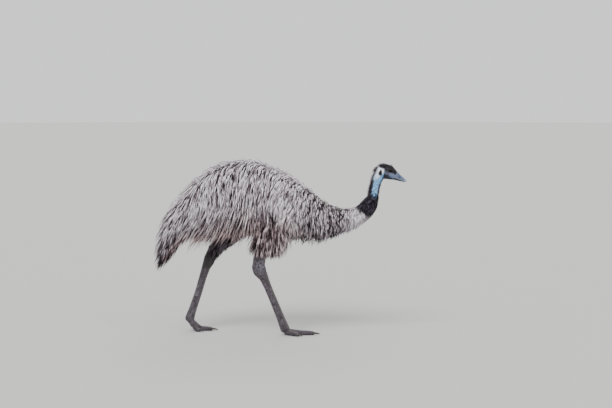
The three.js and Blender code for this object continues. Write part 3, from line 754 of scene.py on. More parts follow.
class ShaderTree(Tree):
    """A material's nodes, with one principled shader."""

    def __init__(self, name: str, **constants: Any) -> None:
        """Starts a material.

        Args:
            name: The material's name.
            constants: What is set on the shader's own sockets, with _ for a space.
        """
        self.material = bpy.data.materials.new(name)
        self.material.use_nodes = True
        super().__init__(self.material.node_tree)
        self.shader = self.nodes.nodes["Principled BSDF"]
        for key, value in constants.items():
            self.shader.inputs[key.replace("_", " ")].default_value = value

    def own(self, name: str) -> Sum:
        """A number that the piece's points carry."""
        return self.take("ShaderNodeAttribute", "Fac", {"attribute_name": name}, {})

    def place(self) -> Sum:
        """The point's own place in the frame."""
        return self.take("ShaderNodeTexCoord", "Object", {}, {})

    def noise(self, scale: float, detail: float = 2.0, at: Sum | None = None) -> Sum:
        """Cloudy noise over the surface."""
        sockets = {"Vector": at or self.place(), "Scale": scale, "Detail": detail}
        return self.take("ShaderNodeTexNoise", "Fac", {}, sockets)

    def cells(self, scale: float, at: Sum) -> Sum:
        """Cells over the surface, as the distance to their edge."""
        return self.take("ShaderNodeTexVoronoi", "Distance", {"feature": "DISTANCE_TO_EDGE"},
                         {"Vector": at, "Scale": scale})

    def stretched(self, x: float, y: float, z: float, turn: float = 0.0) -> Sum:
        """The point's place with a pattern drawn out along an axis, turned about Y."""
        sockets = {"Vector": self.place(), "Scale": (x, y, z), "Rotation": (0.0, turn, 0.0)}
        return self.take("ShaderNodeMapping", "Vector", {}, sockets)

    def mix(self, share: Any, a: Sum | str, b: Sum | str, how: str = "MIX") -> Sum:
        """Colour a with a share of colour b, each a sum or a screen code."""
        first, second = (colour(part) if isinstance(part, str) else part for part in (a, b))
        return self.take("ShaderNodeMix", "Result_Color",
                         {"data_type": "RGBA", "blend_type": how, "clamp_factor": True},
                         {"Factor_Float": share, "A_Color": first, "B_Color": second})

    def ramp(self, value: Sum, *stops: tuple[float, str]) -> Sum:
        """A colour that a number picks from stops, each a place and a screen code."""
        return self.take("ShaderNodeValToRGB", "Color", {"stops": stops}, {"Fac": value})

    def bumped(self, height: Sum, depth: float) -> Sum:
        """The normal over a height of a depth in metres."""
        return self.take("ShaderNodeBump", "Normal", {}, {"Height": height, "Distance": depth})

    def finish(self, **links: Any) -> Material:
        """Feeds the shader's sockets, with _ for a space, and gives the material."""
        for key, value in links.items():
            self.feed(self.shader.inputs[key.replace("_", " ")], value)
        return self.material


class FormTree(Tree):
    """A Geometry Nodes tree with named inputs, which ends in real geometry of one material."""

    SOCKETS = {float: "NodeSocketFloat", int: "NodeSocketInt", Material: "NodeSocketMaterial"}

    def __init__(self, name: str, **sizes: Any) -> None:
        """Starts a tree.

        Args:
            name: The tree's name.
            sizes: Its named inputs, Finish among them, and their values.
        """
        super().__init__(bpy.data.node_groups.new(name, "GeometryNodeTree"))
        self.sizes = sizes
        face = self.nodes.interface
        face.new_socket("Geometry", in_out="INPUT", socket_type="NodeSocketGeometry")
        face.new_socket("Geometry", in_out="OUTPUT", socket_type="NodeSocketGeometry")
        for key, value in sizes.items():
            face.new_socket(key, in_out="INPUT", socket_type=self.SOCKETS[type(value)])
        self.start = self.nodes.nodes.new("NodeGroupInput")

    def given(self, name: str) -> Sum:
        """One of the tree's inputs."""
        return Sum(self, self.start.outputs[name])

    def carried(self, name: str, kind: str = "FLOAT") -> Sum:
        """A value that the points carry."""
        return self.take("GeometryNodeInputNamedAttribute", "Attribute", {"data_type": kind}, {"Name": name})

    def position(self) -> Sum:
        """The place of each point or instance."""
        return self.take("GeometryNodeInputPosition", "Position", {}, {})

    def parts(self, vector: Sum) -> list[Sum]:
        """A vector's x, y and z."""
        split = self.node("ShaderNodeSeparateXYZ", {}, {"Vector": vector})
        return [Sum(self, split.outputs[axis]) for axis in "XYZ"]

    def combined(self, **parts: Any) -> Sum:
        """The vector of parts that are named X, Y and Z."""
        return self.take("ShaderNodeCombineXYZ", "Vector", {}, parts)

    def turned(self, axes: str, first: Sum, second: Sum) -> Sum:
        """The turn that points the first of two axes one way, and the second as near another as it can."""
        settings = {"primary_axis": axes[0], "secondary_axis": axes[1]}
        sockets = {"Primary Axis": first, "Secondary Axis": second}
        return self.take("FunctionNodeAxesToRotation", "Rotation", settings, sockets)

    def luck(self, low: float, high: float, salt: int) -> Sum:
        """A number drawn for each point."""
        sockets = {"Min_001": low, "Max_001": high, "Seed": self.given("Seed") + salt}
        return self.take("FunctionNodeRandomValue", "Value_001", {"data_type": "FLOAT"}, sockets)

    def stored(self, geometry: Sum, name: str, value: Sum, kind: str, domain: str) -> Sum:
        """Geometry whose points or instances carry a value."""
        return self.take("GeometryNodeStoreNamedAttribute", "Geometry", {"data_type": kind, "domain": domain},
                         {"Geometry": geometry, "Name": name, "Value": value})

    def ended(self, geometry: Sum) -> None:
        """Ends the tree in real geometry with its finish."""
        real = self.take("GeometryNodeRealizeInstances", "Geometry", {}, {"Geometry": geometry})
        sockets = {"Geometry": real, "Material": self.given("Finish")}
        dressed = self.take("GeometryNodeSetMaterial", "Geometry", {}, sockets)
        self.node("NodeGroupOutput", {}, {"Geometry": dressed})

    def grown(self, piece: Object) -> Object:
        """The piece as the plain mesh that the tree makes of it."""
        added = piece.modifiers.new(self.nodes.name, "NODES")
        added.node_group = self.nodes
        for item in self.nodes.interface.items_tree:
            if item.in_out == "INPUT" and item.name in self.sizes:
                added[item.identifier] = self.sizes[item.name]
        return plain(piece)


def colour(code: str) -> tuple[float, float, float, float]:
    """A colour from its screen code, such as 7D706B, in the render's linear values."""
    parts = [int(code[i:i + 2], 16) / 255 for i in (0, 2, 4)]
    linear = [p / 12.92 if p <= 0.04045 else ((p + 0.055) / 1.055)**2.4 for p in parts]
    return (*linear, 1.0)


@dataclass(frozen=True)
class PlumageFinish:
    """Loose feathers whose strands run from dark brown to pale grey, dark at the tip and darker at the root
    with painted shade deep in the coat.
    """

    dark: str = "261D22"
    middle: str = "8F7E88"
    pale: str = "D0C4CD"
    white: str = "FDF7FC"
    brown: str = "F2D4CA"
    black: str = "1A161B"
    # a paler black used as painted sheen on the black feathers
    black_sheen: str = "62586A"

    def made(self) -> Material:
        """Makes the material.

        Returns:
            The material.
        """
        tree = ShaderTree("plumage", Roughness=0.7, Specular_IOR_Level=0.2)
        along, luck, tone = tree.own("along"), tree.own("luck"), tree.own("tone")
        value = luck * 1.9 - 0.45 + tone + (tree.noise(14.0) - 0.5) * 0.25
        value = value + (tree.noise(46.0) - 0.5) * 0.5
        grey = tree.ramp(value, (0.2, self.dark), (0.42, self.middle), (0.62, self.pale), (0.9, self.white))
        warm = tree.mix(tree.own("tan") * 0.8, grey, tree.mix(1.0, grey, self.brown, "MULTIPLY"))
        # painted shade deep in the coat: the strands darken towards the root; the darker tips are the
        # feathers' own black tips
        depth = tree.sums("MULTIPLY", along.between(0.0, 0.42), 1 - 0.6 * along.between(0.78, 1.0))
        shaded = tree.mix(0.25 + 0.75 * depth, self.dark, warm)
        # painted sheen: some black feathers, picked by luck, turn paler away from the root
        black = tree.mix(luck.between(0.42, 0.85) * depth, self.black, self.black_sheen)
        # tips is painted shadow under the breast's hem, black on the outer part of the strands
        share = tree.sums("MAXIMUM", tree.own("black"), tree.own("tips") * along.between(0.45, 0.85))
        return tree.finish(Base_Color=tree.mix(share, shaded, black))


@dataclass(frozen=True)
class SkinFinish:
    """Bare blue skin of the neck and face, with the coat's own markings where feathers cover it."""

    blue: str = "92C4EA"
    deep: str = "4A80B2"
    white: str = "E3EAF6"
    fleck: str = "26466A"
    black: str = "141216"
    rose: str = "5E4A54"
    cere: str = "6A7690"
    under: str = "4A3F3F"
    brown: str = "5C4A3C"
    leg: str = "5E5658"
    leg_worn: str = "776D6B"

    def made(self) -> Material:
        """Makes the material.

        Returns:
            The material.
        """
        tree = ShaderTree("skin", Specular_IOR_Level=0.35)
        mottle = tree.noise(90.0, 3.0)
        flecks = tree.cells(330.0, tree.stretched(1.0, 1.0, 0.6))
        blue = tree.mix(mottle.between(0.42, 0.62), self.blue, self.deep)
        lower = tree.own("low") * mottle.between(0.35, 0.6)
        blue = tree.mix(0.45 + 0.55 * flecks.between(0.02, 0.16), self.deep, blue)
        blue = tree.mix(lower * (1 - flecks.between(0.15, 0.4)), blue, self.fleck)
        bare = tree.mix(tree.own("pale"), blue, self.white)
        bare = tree.mix(tree.own("cere"), bare, self.cere)
        bare = tree.mix(tree.own("rose") * mottle.between(0.25, 0.5), bare, self.rose)
        covered = tree.mix(tree.own("tan"), self.under, self.brown)
        leg = tree.mix(mottle.between(0.4, 0.6), self.leg, self.leg_worn)
        covered = tree.mix(tree.own("leg"), covered, leg)
        worn = tree.mix(tree.own("bare"), covered, bare)
        wrinkles = tree.cells(430.0, tree.stretched(1.0, 1.0, 1.9)).between(0.0, 0.3)
        grain = tree.noise(700.0)
        normal = tree.bumped(wrinkles * 0.5 + grain * 0.5, 0.0005)
        shade = tree.mix(tree.own("black"), worn, self.black)
        return tree.finish(Base_Color=shade, Normal=normal, Roughness=0.48 + 0.2 * mottle)


@dataclass(frozen=True)
class LegFinish:
    """Dull grey-brown scales, darker in their seams and where the points carry shade, which on the far leg's
    dark upper shank is painted shadow, and paler at the near ankle's front, a painted highlight.
    """

    scale: str = "514A52"
    worn: str = "756C76"
    pale: str = "98929E"
    seam: str = "252122"
    shadow: str = "2E2827"

    def made(self) -> Material:
        """Makes the material.

        Returns:
            The material.
        """
        tree = ShaderTree("leg_scales", Roughness=0.6, Specular_IOR_Level=0.35)
        cells = tree.cells(150.0, tree.stretched(1.0, 1.0, 0.8))
        plate = cells.between(0.02, 0.22)
        shade = tree.mix(tree.noise(38.0, 3.0).between(0.35, 0.7), self.scale, self.worn)
        # painted highlight on the near ankle's front, where the points carry pale
        shade = tree.mix(tree.own("pale") * tree.noise(90.0).between(0.3, 0.6), shade, self.pale)
        dark = tree.mix(tree.own("shade"), shade, self.shadow)
        normal = tree.bumped(plate + tree.noise(420.0) * 0.3, 0.0011)
        return tree.finish(Base_Color=tree.mix(plate, self.seam, dark), Normal=normal,
                           Roughness=0.72 - 0.16 * plate)


@dataclass(frozen=True)
class HornFinish:
    """Smooth horn with fine growth lines, as on the bill, the claws and the scutes."""

    name: str
    base: str
    tip: str
    roughness: float
    line: str = "8C8C8C"
    # hollow: painted shade inside the nostrils
    hollow: str = "0C0B0D"
    lines: float = 60.0

    def made(self) -> Material:
        """Makes the material.

        Returns:
            The material.
        """
        tree = ShaderTree(self.name, Specular_IOR_Level=0.45, Coat_Roughness=0.3)
        streaks = tree.noise(self.lines, 4.0, tree.stretched(0.25, 1.0, 1.0, 0.42))
        tint = tree.mix(tree.own("tip"), self.base, self.tip)
        lined = tree.mix(1.0, tint, self.line, "MULTIPLY")
        shaded = tree.mix(streaks.between(0.3, 0.75) * 0.5, tint, lined)
        # painted shade inside the nostrils, where the points carry dark
        shaded = tree.mix(tree.own("dark"), shaded, self.hollow)
        normal = tree.bumped(streaks + tree.noise(900.0) * 0.2, 0.0003)
        return tree.finish(Base_Color=shaded, Normal=normal, Roughness=self.roughness + 0.15 * streaks)


@dataclass(frozen=True)
class EyeFinish:
    """A wet eye: black pupil, red-brown iris with spokes, and a dark rim of painted shadow from the lids."""

    pupil: str = "020202"
    iris: str = "1C0D08"
    spoke: str = "33180C"
    # rim: painted shadow of the lids on the eye's edge
    rim: str = "0B0808"

    def made(self) -> Material:
        """Makes the material.

        Returns:
            The material.
        """
        tree = ShaderTree("eye", Roughness=0.08, Specular_IOR_Level=0.12, Coat_Weight=0.05,
                          Coat_Roughness=0.03)
        out = tree.own("out") + (tree.noise(500.0) - 0.5) * 0.06
        spokes = tree.noise(1.0, 3.0, tree.stretched(900.0, 300.0, 900.0))
        iris = tree.mix(spokes.between(0.35, 0.7) * 0.6, self.iris, self.spoke)
        inside = tree.mix(out.between(0.36, 0.42), self.pupil, iris)
        # the dark rim just inside the lids is painted shadow of the lids
        return tree.finish(Base_Color=tree.mix(out.between(0.68, 0.8), inside, self.rim))


@dataclass(frozen=True)
class FloorFinish:
    """A pale, even floor."""

    tint: str = "BCBBB9"

    def made(self) -> Material:
        """The material."""
        tree = ShaderTree("floor", Roughness=0.9, Specular_IOR_Level=0.1)
        return tree.finish(Base_Color=colour(self.tint))


class Bird:
    """The bird's form: its limbs in the frame, its head's own axes, and how far its coat reaches."""

    HEAD = (0.639, 0.981)
    PITCH = math.radians(24)
    EYE = (0.019, 0.015, 0.0255)
    EYE_RADIUS = 0.0125
    EAR = (-0.029, -0.017, 0.034)
    SPLAY = math.radians(31)

    def __init__(self) -> None:
        """Finds where the bird stands from the solids' right eye, and sets its limbs there."""
        self.along = Vector((math.cos(self.PITCH), 0, -math.sin(self.PITCH)))
        self.over = Vector((math.sin(self.PITCH), 0, math.cos(self.PITCH)))
        low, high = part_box("eye_right")
        self.place = Vector()
        self.place = (low + high) / 2 - self.head_point(self.EYE[0], self.EYE[1], -self.EYE[2])
        self.trunk = Limb(TRUNK, self.place, flow=-1.0, power=TRUNK_POWER)
        self.thigh = {Side.RIGHT: Limb(THIGH_RIGHT, self.place, -1, drop=0.85),
                      Side.LEFT: Limb(THIGH_LEFT, self.place, 1, drop=0.15)}
        self.tarsus = {Side.RIGHT: Limb(TARSUS_RIGHT, self.place, -1),
                       Side.LEFT: Limb(TARSUS_LEFT, self.place, 1)}
        self.wing = {side: Limb(WING, self.place, side.value) for side in Side}
        self.body = [self.trunk, *self.thigh.values()]

    def head_point(self, forward: float, up: float, side: float = 0.0) -> Vector:
        """A point in the head's own axes."""
        middle = self.place + Vector((self.HEAD[0], side, self.HEAD[1]))
        return middle + self.along * forward + self.over * up

    def eye_middle(self, side: Side) -> Vector:
        """The middle of an eye."""
        forward, up, out = self.EYE
        return self.head_point(forward, up, side.value * out)

    def in_head(self, p: Array) -> Array:
        """Points as forward, up and side in the head's own axes."""
        away = p - np.array(self.head_point(0, 0))
        return np.stack([away @ np.array(self.along), away @ np.array(self.over), away[:, 1]], axis=1)


@dataclass(frozen=True)
class Swelling:
    """A soft rise or hollow of the head, in its own axes, alike on both sides."""

    forward: float
    up: float
    side: float
    long: float
    high: float
    rise: float
    deep: float = 0.02

    def at(self, q: Array) -> Array:
        """How far the swelling lifts points given in the head's axes."""
        away = ((q[:, 0] - self.forward) / self.long)**2 + ((q[:, 1] - self.up) / self.high)**2
        away += ((np.abs(q[:, 2]) - self.side) / self.deep)**2
        return self.rise * np.exp(-away)


@dataclass
class Skin:
    """One skin under the coat, from the tail to the base of the bill, with the wings and the thighs."""

    bird: Bird
    body_step: float = 0.0075
    head_step: float = 0.0017
    neck_from: float = 15.2
    body_to: float = 16.6
    head_rows: tuple = metres(
        (-64, -2, -22, 12), (-58, 10, -32, 23), (-42, 29, -46, 32), (-20, 39, -50, 36),
        (5, 43.5, -46, 37), (28, 42.5, -38, 34), (45, 37.5, -33, 27.5), (62, 29, -27, 22.5),
    )
    coat: float = 0.0015
    least: float = 0.004
    head_power: tuple[float, float] = (2.15, 2.0)
    lid_long: float = 0.0128
    lid_high: float = 0.0105
    lid_out: float = 0.0322
    lid_thick: float = 0.0026
    socket_room: float = 0.0002
    swellings: tuple = tuple(Swelling(*row) for row in metres(
        (18, 33, 30, 20, 7, 2.2), (42, 8, 30, 12, 12, -2.2), (10, -12, 36, 22, 10, 1.6),
        (40, -14, 30, 20, 2.2, -2.2), (38, -19, 30, 20, 3, 1.2), (-29, -19, 34, 7, 12, -6),
        (-29, -17, 34, 11.5, 15, 1.6),
    ))

    def tube(self, limb: Limb, start: float, end: float, rings: int, sides: int) -> Object:
        """A length of a limb as a closed skin, inside its core by the coat's depth."""
        t = np.linspace(start, end, rings)
        s = limb.sections(t)
        up, down, half = (np.maximum(reach - s.lift, self.least) for reach in (s.up, s.down, s.half))
        made = section_rings(s.c, s.back, s.side, up, down, half, sides, limb.power)
        tips = (s.c[0] - s.along[0] * half[0] * 0.4, s.c[-1] + s.along[-1] * half[-1] * 0.4)
        return loft("length", made, np.array(tips))

    def head_form(self) -> Object:
        """Lofts the head without its lids.

        Returns:
            The closed form.
        """
        rows = spline(np.array(self.head_rows), np.linspace(0, len(self.head_rows) - 1, 40))
        c = np.array([self.bird.head_point(r[0], (r[1] + r[2]) / 2) for r in rows])
        tall = (rows[:, 1] - rows[:, 2]) / 2 - self.coat
        back, side = np.tile(self.bird.over, (len(c), 1)), np.tile(SIDEWAYS, (len(c), 1))
        made = section_rings(c, back, side, tall, tall, rows[:, 3] - self.coat, 48, self.head_power)
        ahead = np.array(self.bird.along)
        return loft("head_form", made, np.array([c[0] - ahead * 0.002, c[-1]]))

    def lids(self, side: Side) -> Object:
        """Builds the ring of both lids round an eye.

        Args:
            side: Which eye.

        Returns:
            The ring.
        """
        count, sides = 48, 12
        forward, up, _ = self.bird.EYE
        c, back = [], []
        for angle in np.linspace(0, 2 * math.pi, count, endpoint=False):
            ahead, lid = self.lid_long * math.cos(angle), self.lid_high * math.sin(angle)
            c.append(self.bird.head_point(forward + ahead, up + lid, side.value * self.lid_out))
            back.append(self.bird.along * math.cos(angle) + self.bird.over * math.sin(angle))
        across = np.tile(SIDEWAYS, (count, 1))
        thick = np.full(count, self.lid_thick)
        rings = section_rings(np.array(c), np.array(back), across, thick, thick, thick * 1.35, sides)
        made = mesh_object("lids", rings.reshape(-1, 3), band(count, sides, closed=True))
        outwards(made)
        return made

    def evened(self, pieces: list[Object], name: str, step: float, rounds: int) -> Object:
        """Closed forms fused into one even skin.

        Args:
            pieces: The forms, which are used up.
            name: The skin's name.
            step: How far apart its points are.
            rounds: How often it is smoothed.

        Returns:
            The skin.
        """
        made = joined(pieces, name)
        modified(made, "REMESH", mode="VOXEL", voxel_size=step, use_smooth_shade=True)
        return modified(made, "SMOOTH", factor=0.5, iterations=rounds)

    def head_and_neck(self) -> Object:
        """Builds the bare neck and the head finely, with lids, sockets, ears and mouth.

        Returns:
            The closed skin.
        """
        neck = self.tube(self.bird.trunk, self.neck_from, 21.0, 60, 40)
        pieces = [neck, self.head_form(), *(self.lids(side) for side in Side)]
        made = self.evened(pieces, "head_and_neck", self.head_step, 3)
        points, normals = places_of(made), normals_of(made)
        q = self.bird.in_head(points)
        lift = sum(swelling.at(q) for swelling in self.swellings)
        t = self.bird.trunk.nearest(points)
        folds = np.sin(points[:, 2] * 700 + 2.2 * np.sin(points[:, 0] * 130 + points[:, 1] * 90))
        lift += 0.00035 * folds * smoothstep(t, 16.8, 17.8) * fading(q[:, 0], -0.055, -0.03)
        move_points(made, points + normals * lift[:, None])
        for side in Side:
            socket = ball("socket", 4, self.bird.EYE_RADIUS + self.socket_room, self.bird.eye_middle(side))
            cut(made, socket)
        return made

    def made(self, finish: Material) -> Object:
        """Builds the skin with the markings that the coat has.

        Args:
            finish: Its material.

        Returns:
            The piece.
        """
        trunk = self.tube(self.bird.trunk, 0.0, self.body_to, 90, 48)
        limbs = [self.tube(thigh, 0.0, thigh.last, 30, 32) for thigh in self.bird.thigh.values()]
        limbs += [self.tube(wing, 0.0, wing.last, 16, 20) for wing in self.bird.wing.values()]
        body = self.evened([trunk, *limbs], "body", self.body_step, 4)
        skin = cut(body, self.head_and_neck(), "UNION")
        skin.name = "skin"
        skin.data.name = "skin"
        points = places_of(skin)
        for name, values in Markings(self.bird).on_skin(points).items():
            give(skin, name, values)
        skin.data.materials.clear()
        skin.data.materials.append(finish)
        return skin


@dataclass(frozen=True)
class Markings:
    """Where the bird is pale, tan, black or bare, which the skin and the coat share.

    The pairs in capitals are where a marking begins and where it is full, in shares of the trunk.
    """

    RUFF = (15.25, 15.6)
    COLLAR = (13.0, 14.2)
    BREAST = (8.2, 9.2)
    BREAST_END = (11.4, 12.6)
    THROAT = (10.5, 12.5)
    THROAT_END = (13.0, 14.0)
    TOP_LIGHT_END = (9.0, 11.0)
    TAN_END = (9.5, 12.0)
    TAIL_END = (0.5, 4.0)
    BARE = (16.4, 17.2)
    LOW_END = (17.2, 18.8)
    PALE_NAPE = (19.3, 20.8)
    LEVEL_LIMIT = 1.2

    bird: Bird

    def on_coat(self, points: Array) -> dict[str, Array]:
        """How pale, tan and black the feathers rooted at points are, with painted light on the top, painted
        shade underneath and painted shadow under the breast's hem.

        Args:
            points: The roots, at or near the skin.

        Returns:
            tone, tan, black and how black the tips are, for each point.
        """
        t, s, away = self.bird.trunk.around(points)
        tall = np.where(dot(away, s.back) > 0, s.up, s.down)
        level = np.clip(dot(away, s.back) / tall, -self.LEVEL_LIMIT, self.LEVEL_LIMIT)
        x, z = points[:, 0] - self.bird.place.x, points[:, 2]
        ragged = 0.22 * np.sin(points[:, 1] * 310 + z * 170) * np.sin(z * 420 + x * 130)
        ruff = smoothstep(t + ragged + 0.15 * level, *self.RUFF)
        clouds = np.sin(x * 23 + z * 9 + 1.3) * np.sin(z * 31 - x * 7) * 0.05
        shoulder = np.exp(-((x - 0.045 + (z - 0.80) * 0.25) / 0.045)**2) * smoothstep(level, -0.6, -0.1)
        shoulder *= fading(level, 0.55, 0.95)
        collar = smoothstep(t, *self.COLLAR) * hump(level, 0.15, 0.7)
        # painted light: sky makes the top of the trunk lighter, as where light falls from above, and fades
        # out towards the neck
        sky = smoothstep(level, -0.2, 0.8) * fading(t, *self.TOP_LIGHT_END)
        tail = fading(t, *self.TAIL_END) * smoothstep(-level, -1.0, 0.1)
        # painted shade: keel darkens the underside of the trunk, where shade falls
        keel = smoothstep(-level, 0.62, 1.0)
        breast = smoothstep(t, *self.BREAST) * fading(t, *self.BREAST_END)
        # painted shadow under the breast's hem: edge turns the lowest breast feathers black, and tips
        # blackens the outer part of the lower breast feathers
        edge = smoothstep(-level, 0.52, 0.76) * breast
        tips = smoothstep(-level, 0.15, 0.5) * breast
        tan = smoothstep(-level, -0.25, 0.75) * fading(t, *self.TAN_END)
        inner = np.zeros(len(points))
        trunk_height = self.bird.trunk.height(points)
        for side, thigh in self.bird.thigh.items():
            leg = smoothstep(trunk_height - thigh.height(points), 0.0, 0.02) * (points[:, 1] * side.value > 0)
            middle = thigh.sections(thigh.nearest(points)).c
            inside = smoothstep((middle - points)[:, 1] * side.value, -0.012, 0.02)
            inner = np.maximum(inner, leg * inside)
            keel = keel * (1 - leg) + 0.4 * leg * (1 - inside)
            tan = tan * (1 - leg) + 0.5 * leg
            for marking in (sky, edge, tips):
                marking *= 1 - leg
        throat = smoothstep(t, *self.THROAT) * fading(t, *self.THROAT_END)
        tone = clouds + 0.26 * shoulder + 0.7 * collar + 0.26 * sky - 0.6 * tail - 0.4 * keel - 0.26 * throat
        return {"tone": tone + 0.05 * tan, "tan": tan, "tips": tips,
                "black": np.maximum.reduce([ruff, inner * 0.9, 0.8 * edge])}

    def on_skin(self, points: Array) -> dict[str, Array]:
        """The same markings on the skin, with its bare blue, pale and rosy parts.

        Args:
            points: The skin's points.

        Returns:
            tone, which the bristles take from the skin, and tan, black, bare, pale, rose, cere, leg and low,
            for each point.
        """
        found = self.on_coat(points)
        t, s, away = self.bird.trunk.around(points)
        level = np.clip(dot(away, s.back) / s.up, -self.LEVEL_LIMIT, self.LEVEL_LIMIT)
        q = self.bird.in_head(points)
        head = smoothstep(q[:, 0], -0.062, -0.045) * smoothstep(q[:, 1], -0.085, -0.06)
        bare = smoothstep(t, *self.BARE)
        blotches = 0.12 * np.sin(points[:, 2] * 330 + 2) * np.sin(points[:, 0] * 410 + points[:, 1] * 260)
        nape = smoothstep(level + blotches, 0.22 + 0.04 * (t - 17), 0.5 + 0.04 * (t - 17))
        throat = smoothstep(blotches - level, 0.5, 0.76)
        forward, up = q[:, 0], q[:, 1]
        crown = smoothstep(up + 0.12 * np.abs(forward), 0.008, 0.018)
        back = fading(np.abs(q[:, 2]), 0.008, 0.017) * fading(forward, -0.05, -0.03)
        face = smoothstep(forward + 0.35 * up, -0.017, -0.010)
        rose = self.patch(q, 0.006, -0.005, 0.018, 0.0085)
        cere = self.patch(q, 0.046, -0.001, 0.027, 0.018)
        chin = smoothstep(-up, 0.017, 0.023) * smoothstep(forward, -0.012, 0.004)
        eye = self.patch(q, self.bird.EYE[0], self.bird.EYE[1] + 0.002, 0.021, 0.015)
        neck_black = np.maximum(nape, throat) * (1 - head)
        cheek = face * (0.96 - 0.6 * rose) * (1 - cere)
        head_black = np.maximum.reduce([crown, cheek, 0.92 * chin, 0.93 * eye, back]) * head
        from_ear = q[:, :2] - self.bird.EAR[:2]
        rise = from_ear @ np.array([-0.25, 0.97]) / 0.021
        aside = from_ear @ np.array([0.97, 0.25]) / (0.0105 * (1 - 0.5 * np.clip(rise, -1, 1)))
        ear = fading(np.hypot(rise, aside), 0.75, 1.1)
        black = np.maximum.reduce([neck_black, head_black, ear])
        pale = head * fading(forward, -0.018, -0.010) * smoothstep(up, -0.036, -0.010)
        pale += smoothstep(t, *self.PALE_NAPE) * smoothstep(level, -0.25, 0.2)
        leg = np.maximum.reduce([self.shin(points, thigh) for thigh in self.bird.thigh.values()])
        return {"tone": found["tone"], "tan": found["tan"],
                "black": np.where(bare > 0.5, black, found["black"] * (1 - bare)),
                "bare": bare, "pale": np.clip(pale, 0, 1), "rose": rose, "cere": cere, "leg": leg,
                "low": fading(t, *self.LOW_END)}

    @staticmethod
    def shin(points: Array, thigh: Limb) -> Array:
        """How far points are on the bare end of a thigh."""
        return smoothstep(thigh.nearest(points), 3.0, 3.7) * (np.abs(thigh.height(points)) < 0.02)

    @staticmethod
    def patch(q: Array, forward: float, up: float, long: float, high: float) -> Array:
        """How far points in the head's axes are inside a soft patch of half a length and half a height."""
        away = np.hypot((q[:, 0] - forward) / long, (q[:, 1] - up) / high)
        return fading(away, 0.6, 1.3)


@dataclass(frozen=True)
class Coat:
    """How the feathers of one stretch of the bird grow, and the piece that they make.

    spread is how far a feather's strands lie apart, strand how wide each is, hang how far out they may
    hang, stray how unevenly they lie, belly how far underneath they grow, hem how low they reach, thin the
    share that is missing at the end, fall how much longer they are below, and puff how high they lie.
    """

    name: str
    nodes: tuple[str, ...]
    start: float
    end: float
    feathers: int
    strands: int
    long: float
    hang: float
    spread: float = 0.0023
    strand: float = 0.0019
    slot: str = "coat"
    limb: str = "trunk"
    stray: float = 0.09
    belly: float = -0.8
    side: Side | None = None
    hem: float = -1.0
    thin: float = 0.0
    fall: float = 0.0
    puff: float = 1.0


COATS = (
    Coat("plumage_tail", ("tail",), 0.0, 4.0, 1650, 7, 0.105, 0.13, puff=0.55),
    Coat("plumage_rump", ("torso",), 4.0, 5.7, 1720, 7, 0.135, 0.13, fall=0.3, puff=0.6),
    Coat("plumage_hips", ("torso",), 5.7, 7.2, 1720, 7, 0.130, 0.12, fall=0.3),
    Coat("plumage_back", ("torso",), 7.2, 8.6, 1720, 7, 0.120, 0.09, fall=0.15),
    Coat("plumage_shoulders", ("torso",), 8.6, 10.0, 1720, 7, 0.110, 0.05),
    Coat("plumage_breast", ("neck_base",), 10.0, 12.0, 1600, 6, 0.090, 0.03, 0.0022, 0.0018),
    Coat("plumage_neck", ("neck_base",), 12.0, 14.9, 1600, 6, 0.070, 0.024, 0.0021, 0.0017),
    Coat("plumage_ruff", ("neck_ruff",), 14.5, 17.9, 1900, 4, 0.042, 0.018, 0.0028, 0.0015, "ruff",
         stray=0.25, belly=-1.1, thin=0.97),
    Coat("plumage_thigh_right", ("thigh_right",), 0.4, 2.9, 900, 6, 0.115, 0.09, 0.0025, 0.0020,
         "thigh_coat", "thigh", 0.12, -1.1, Side.RIGHT, hem=0.482, puff=2.4),
    Coat("plumage_thigh_left", ("thigh_left",), 0.6, 4.4, 900, 4, 0.045, 0.008, 0.0030, 0.0020,
         "thigh_coat", "thigh", 0.12, -1.1, Side.LEFT),
    *(Coat(f"plumage_wing_{side.word}", (f"wing_{side.word}",), 0.1, 3.9, 170, 6, 0.085, 0.05, 0.0030,
           0.0022, "coat", "wing", 0.12, -1.1, side) for side in Side),
)


@dataclass
class Paths:
    """The midlines of feathers, one row each, with the way out and across at every step."""

    points: Array
    out: Array
    across: Array
    share: Array
    angle: Array
    luck: Array


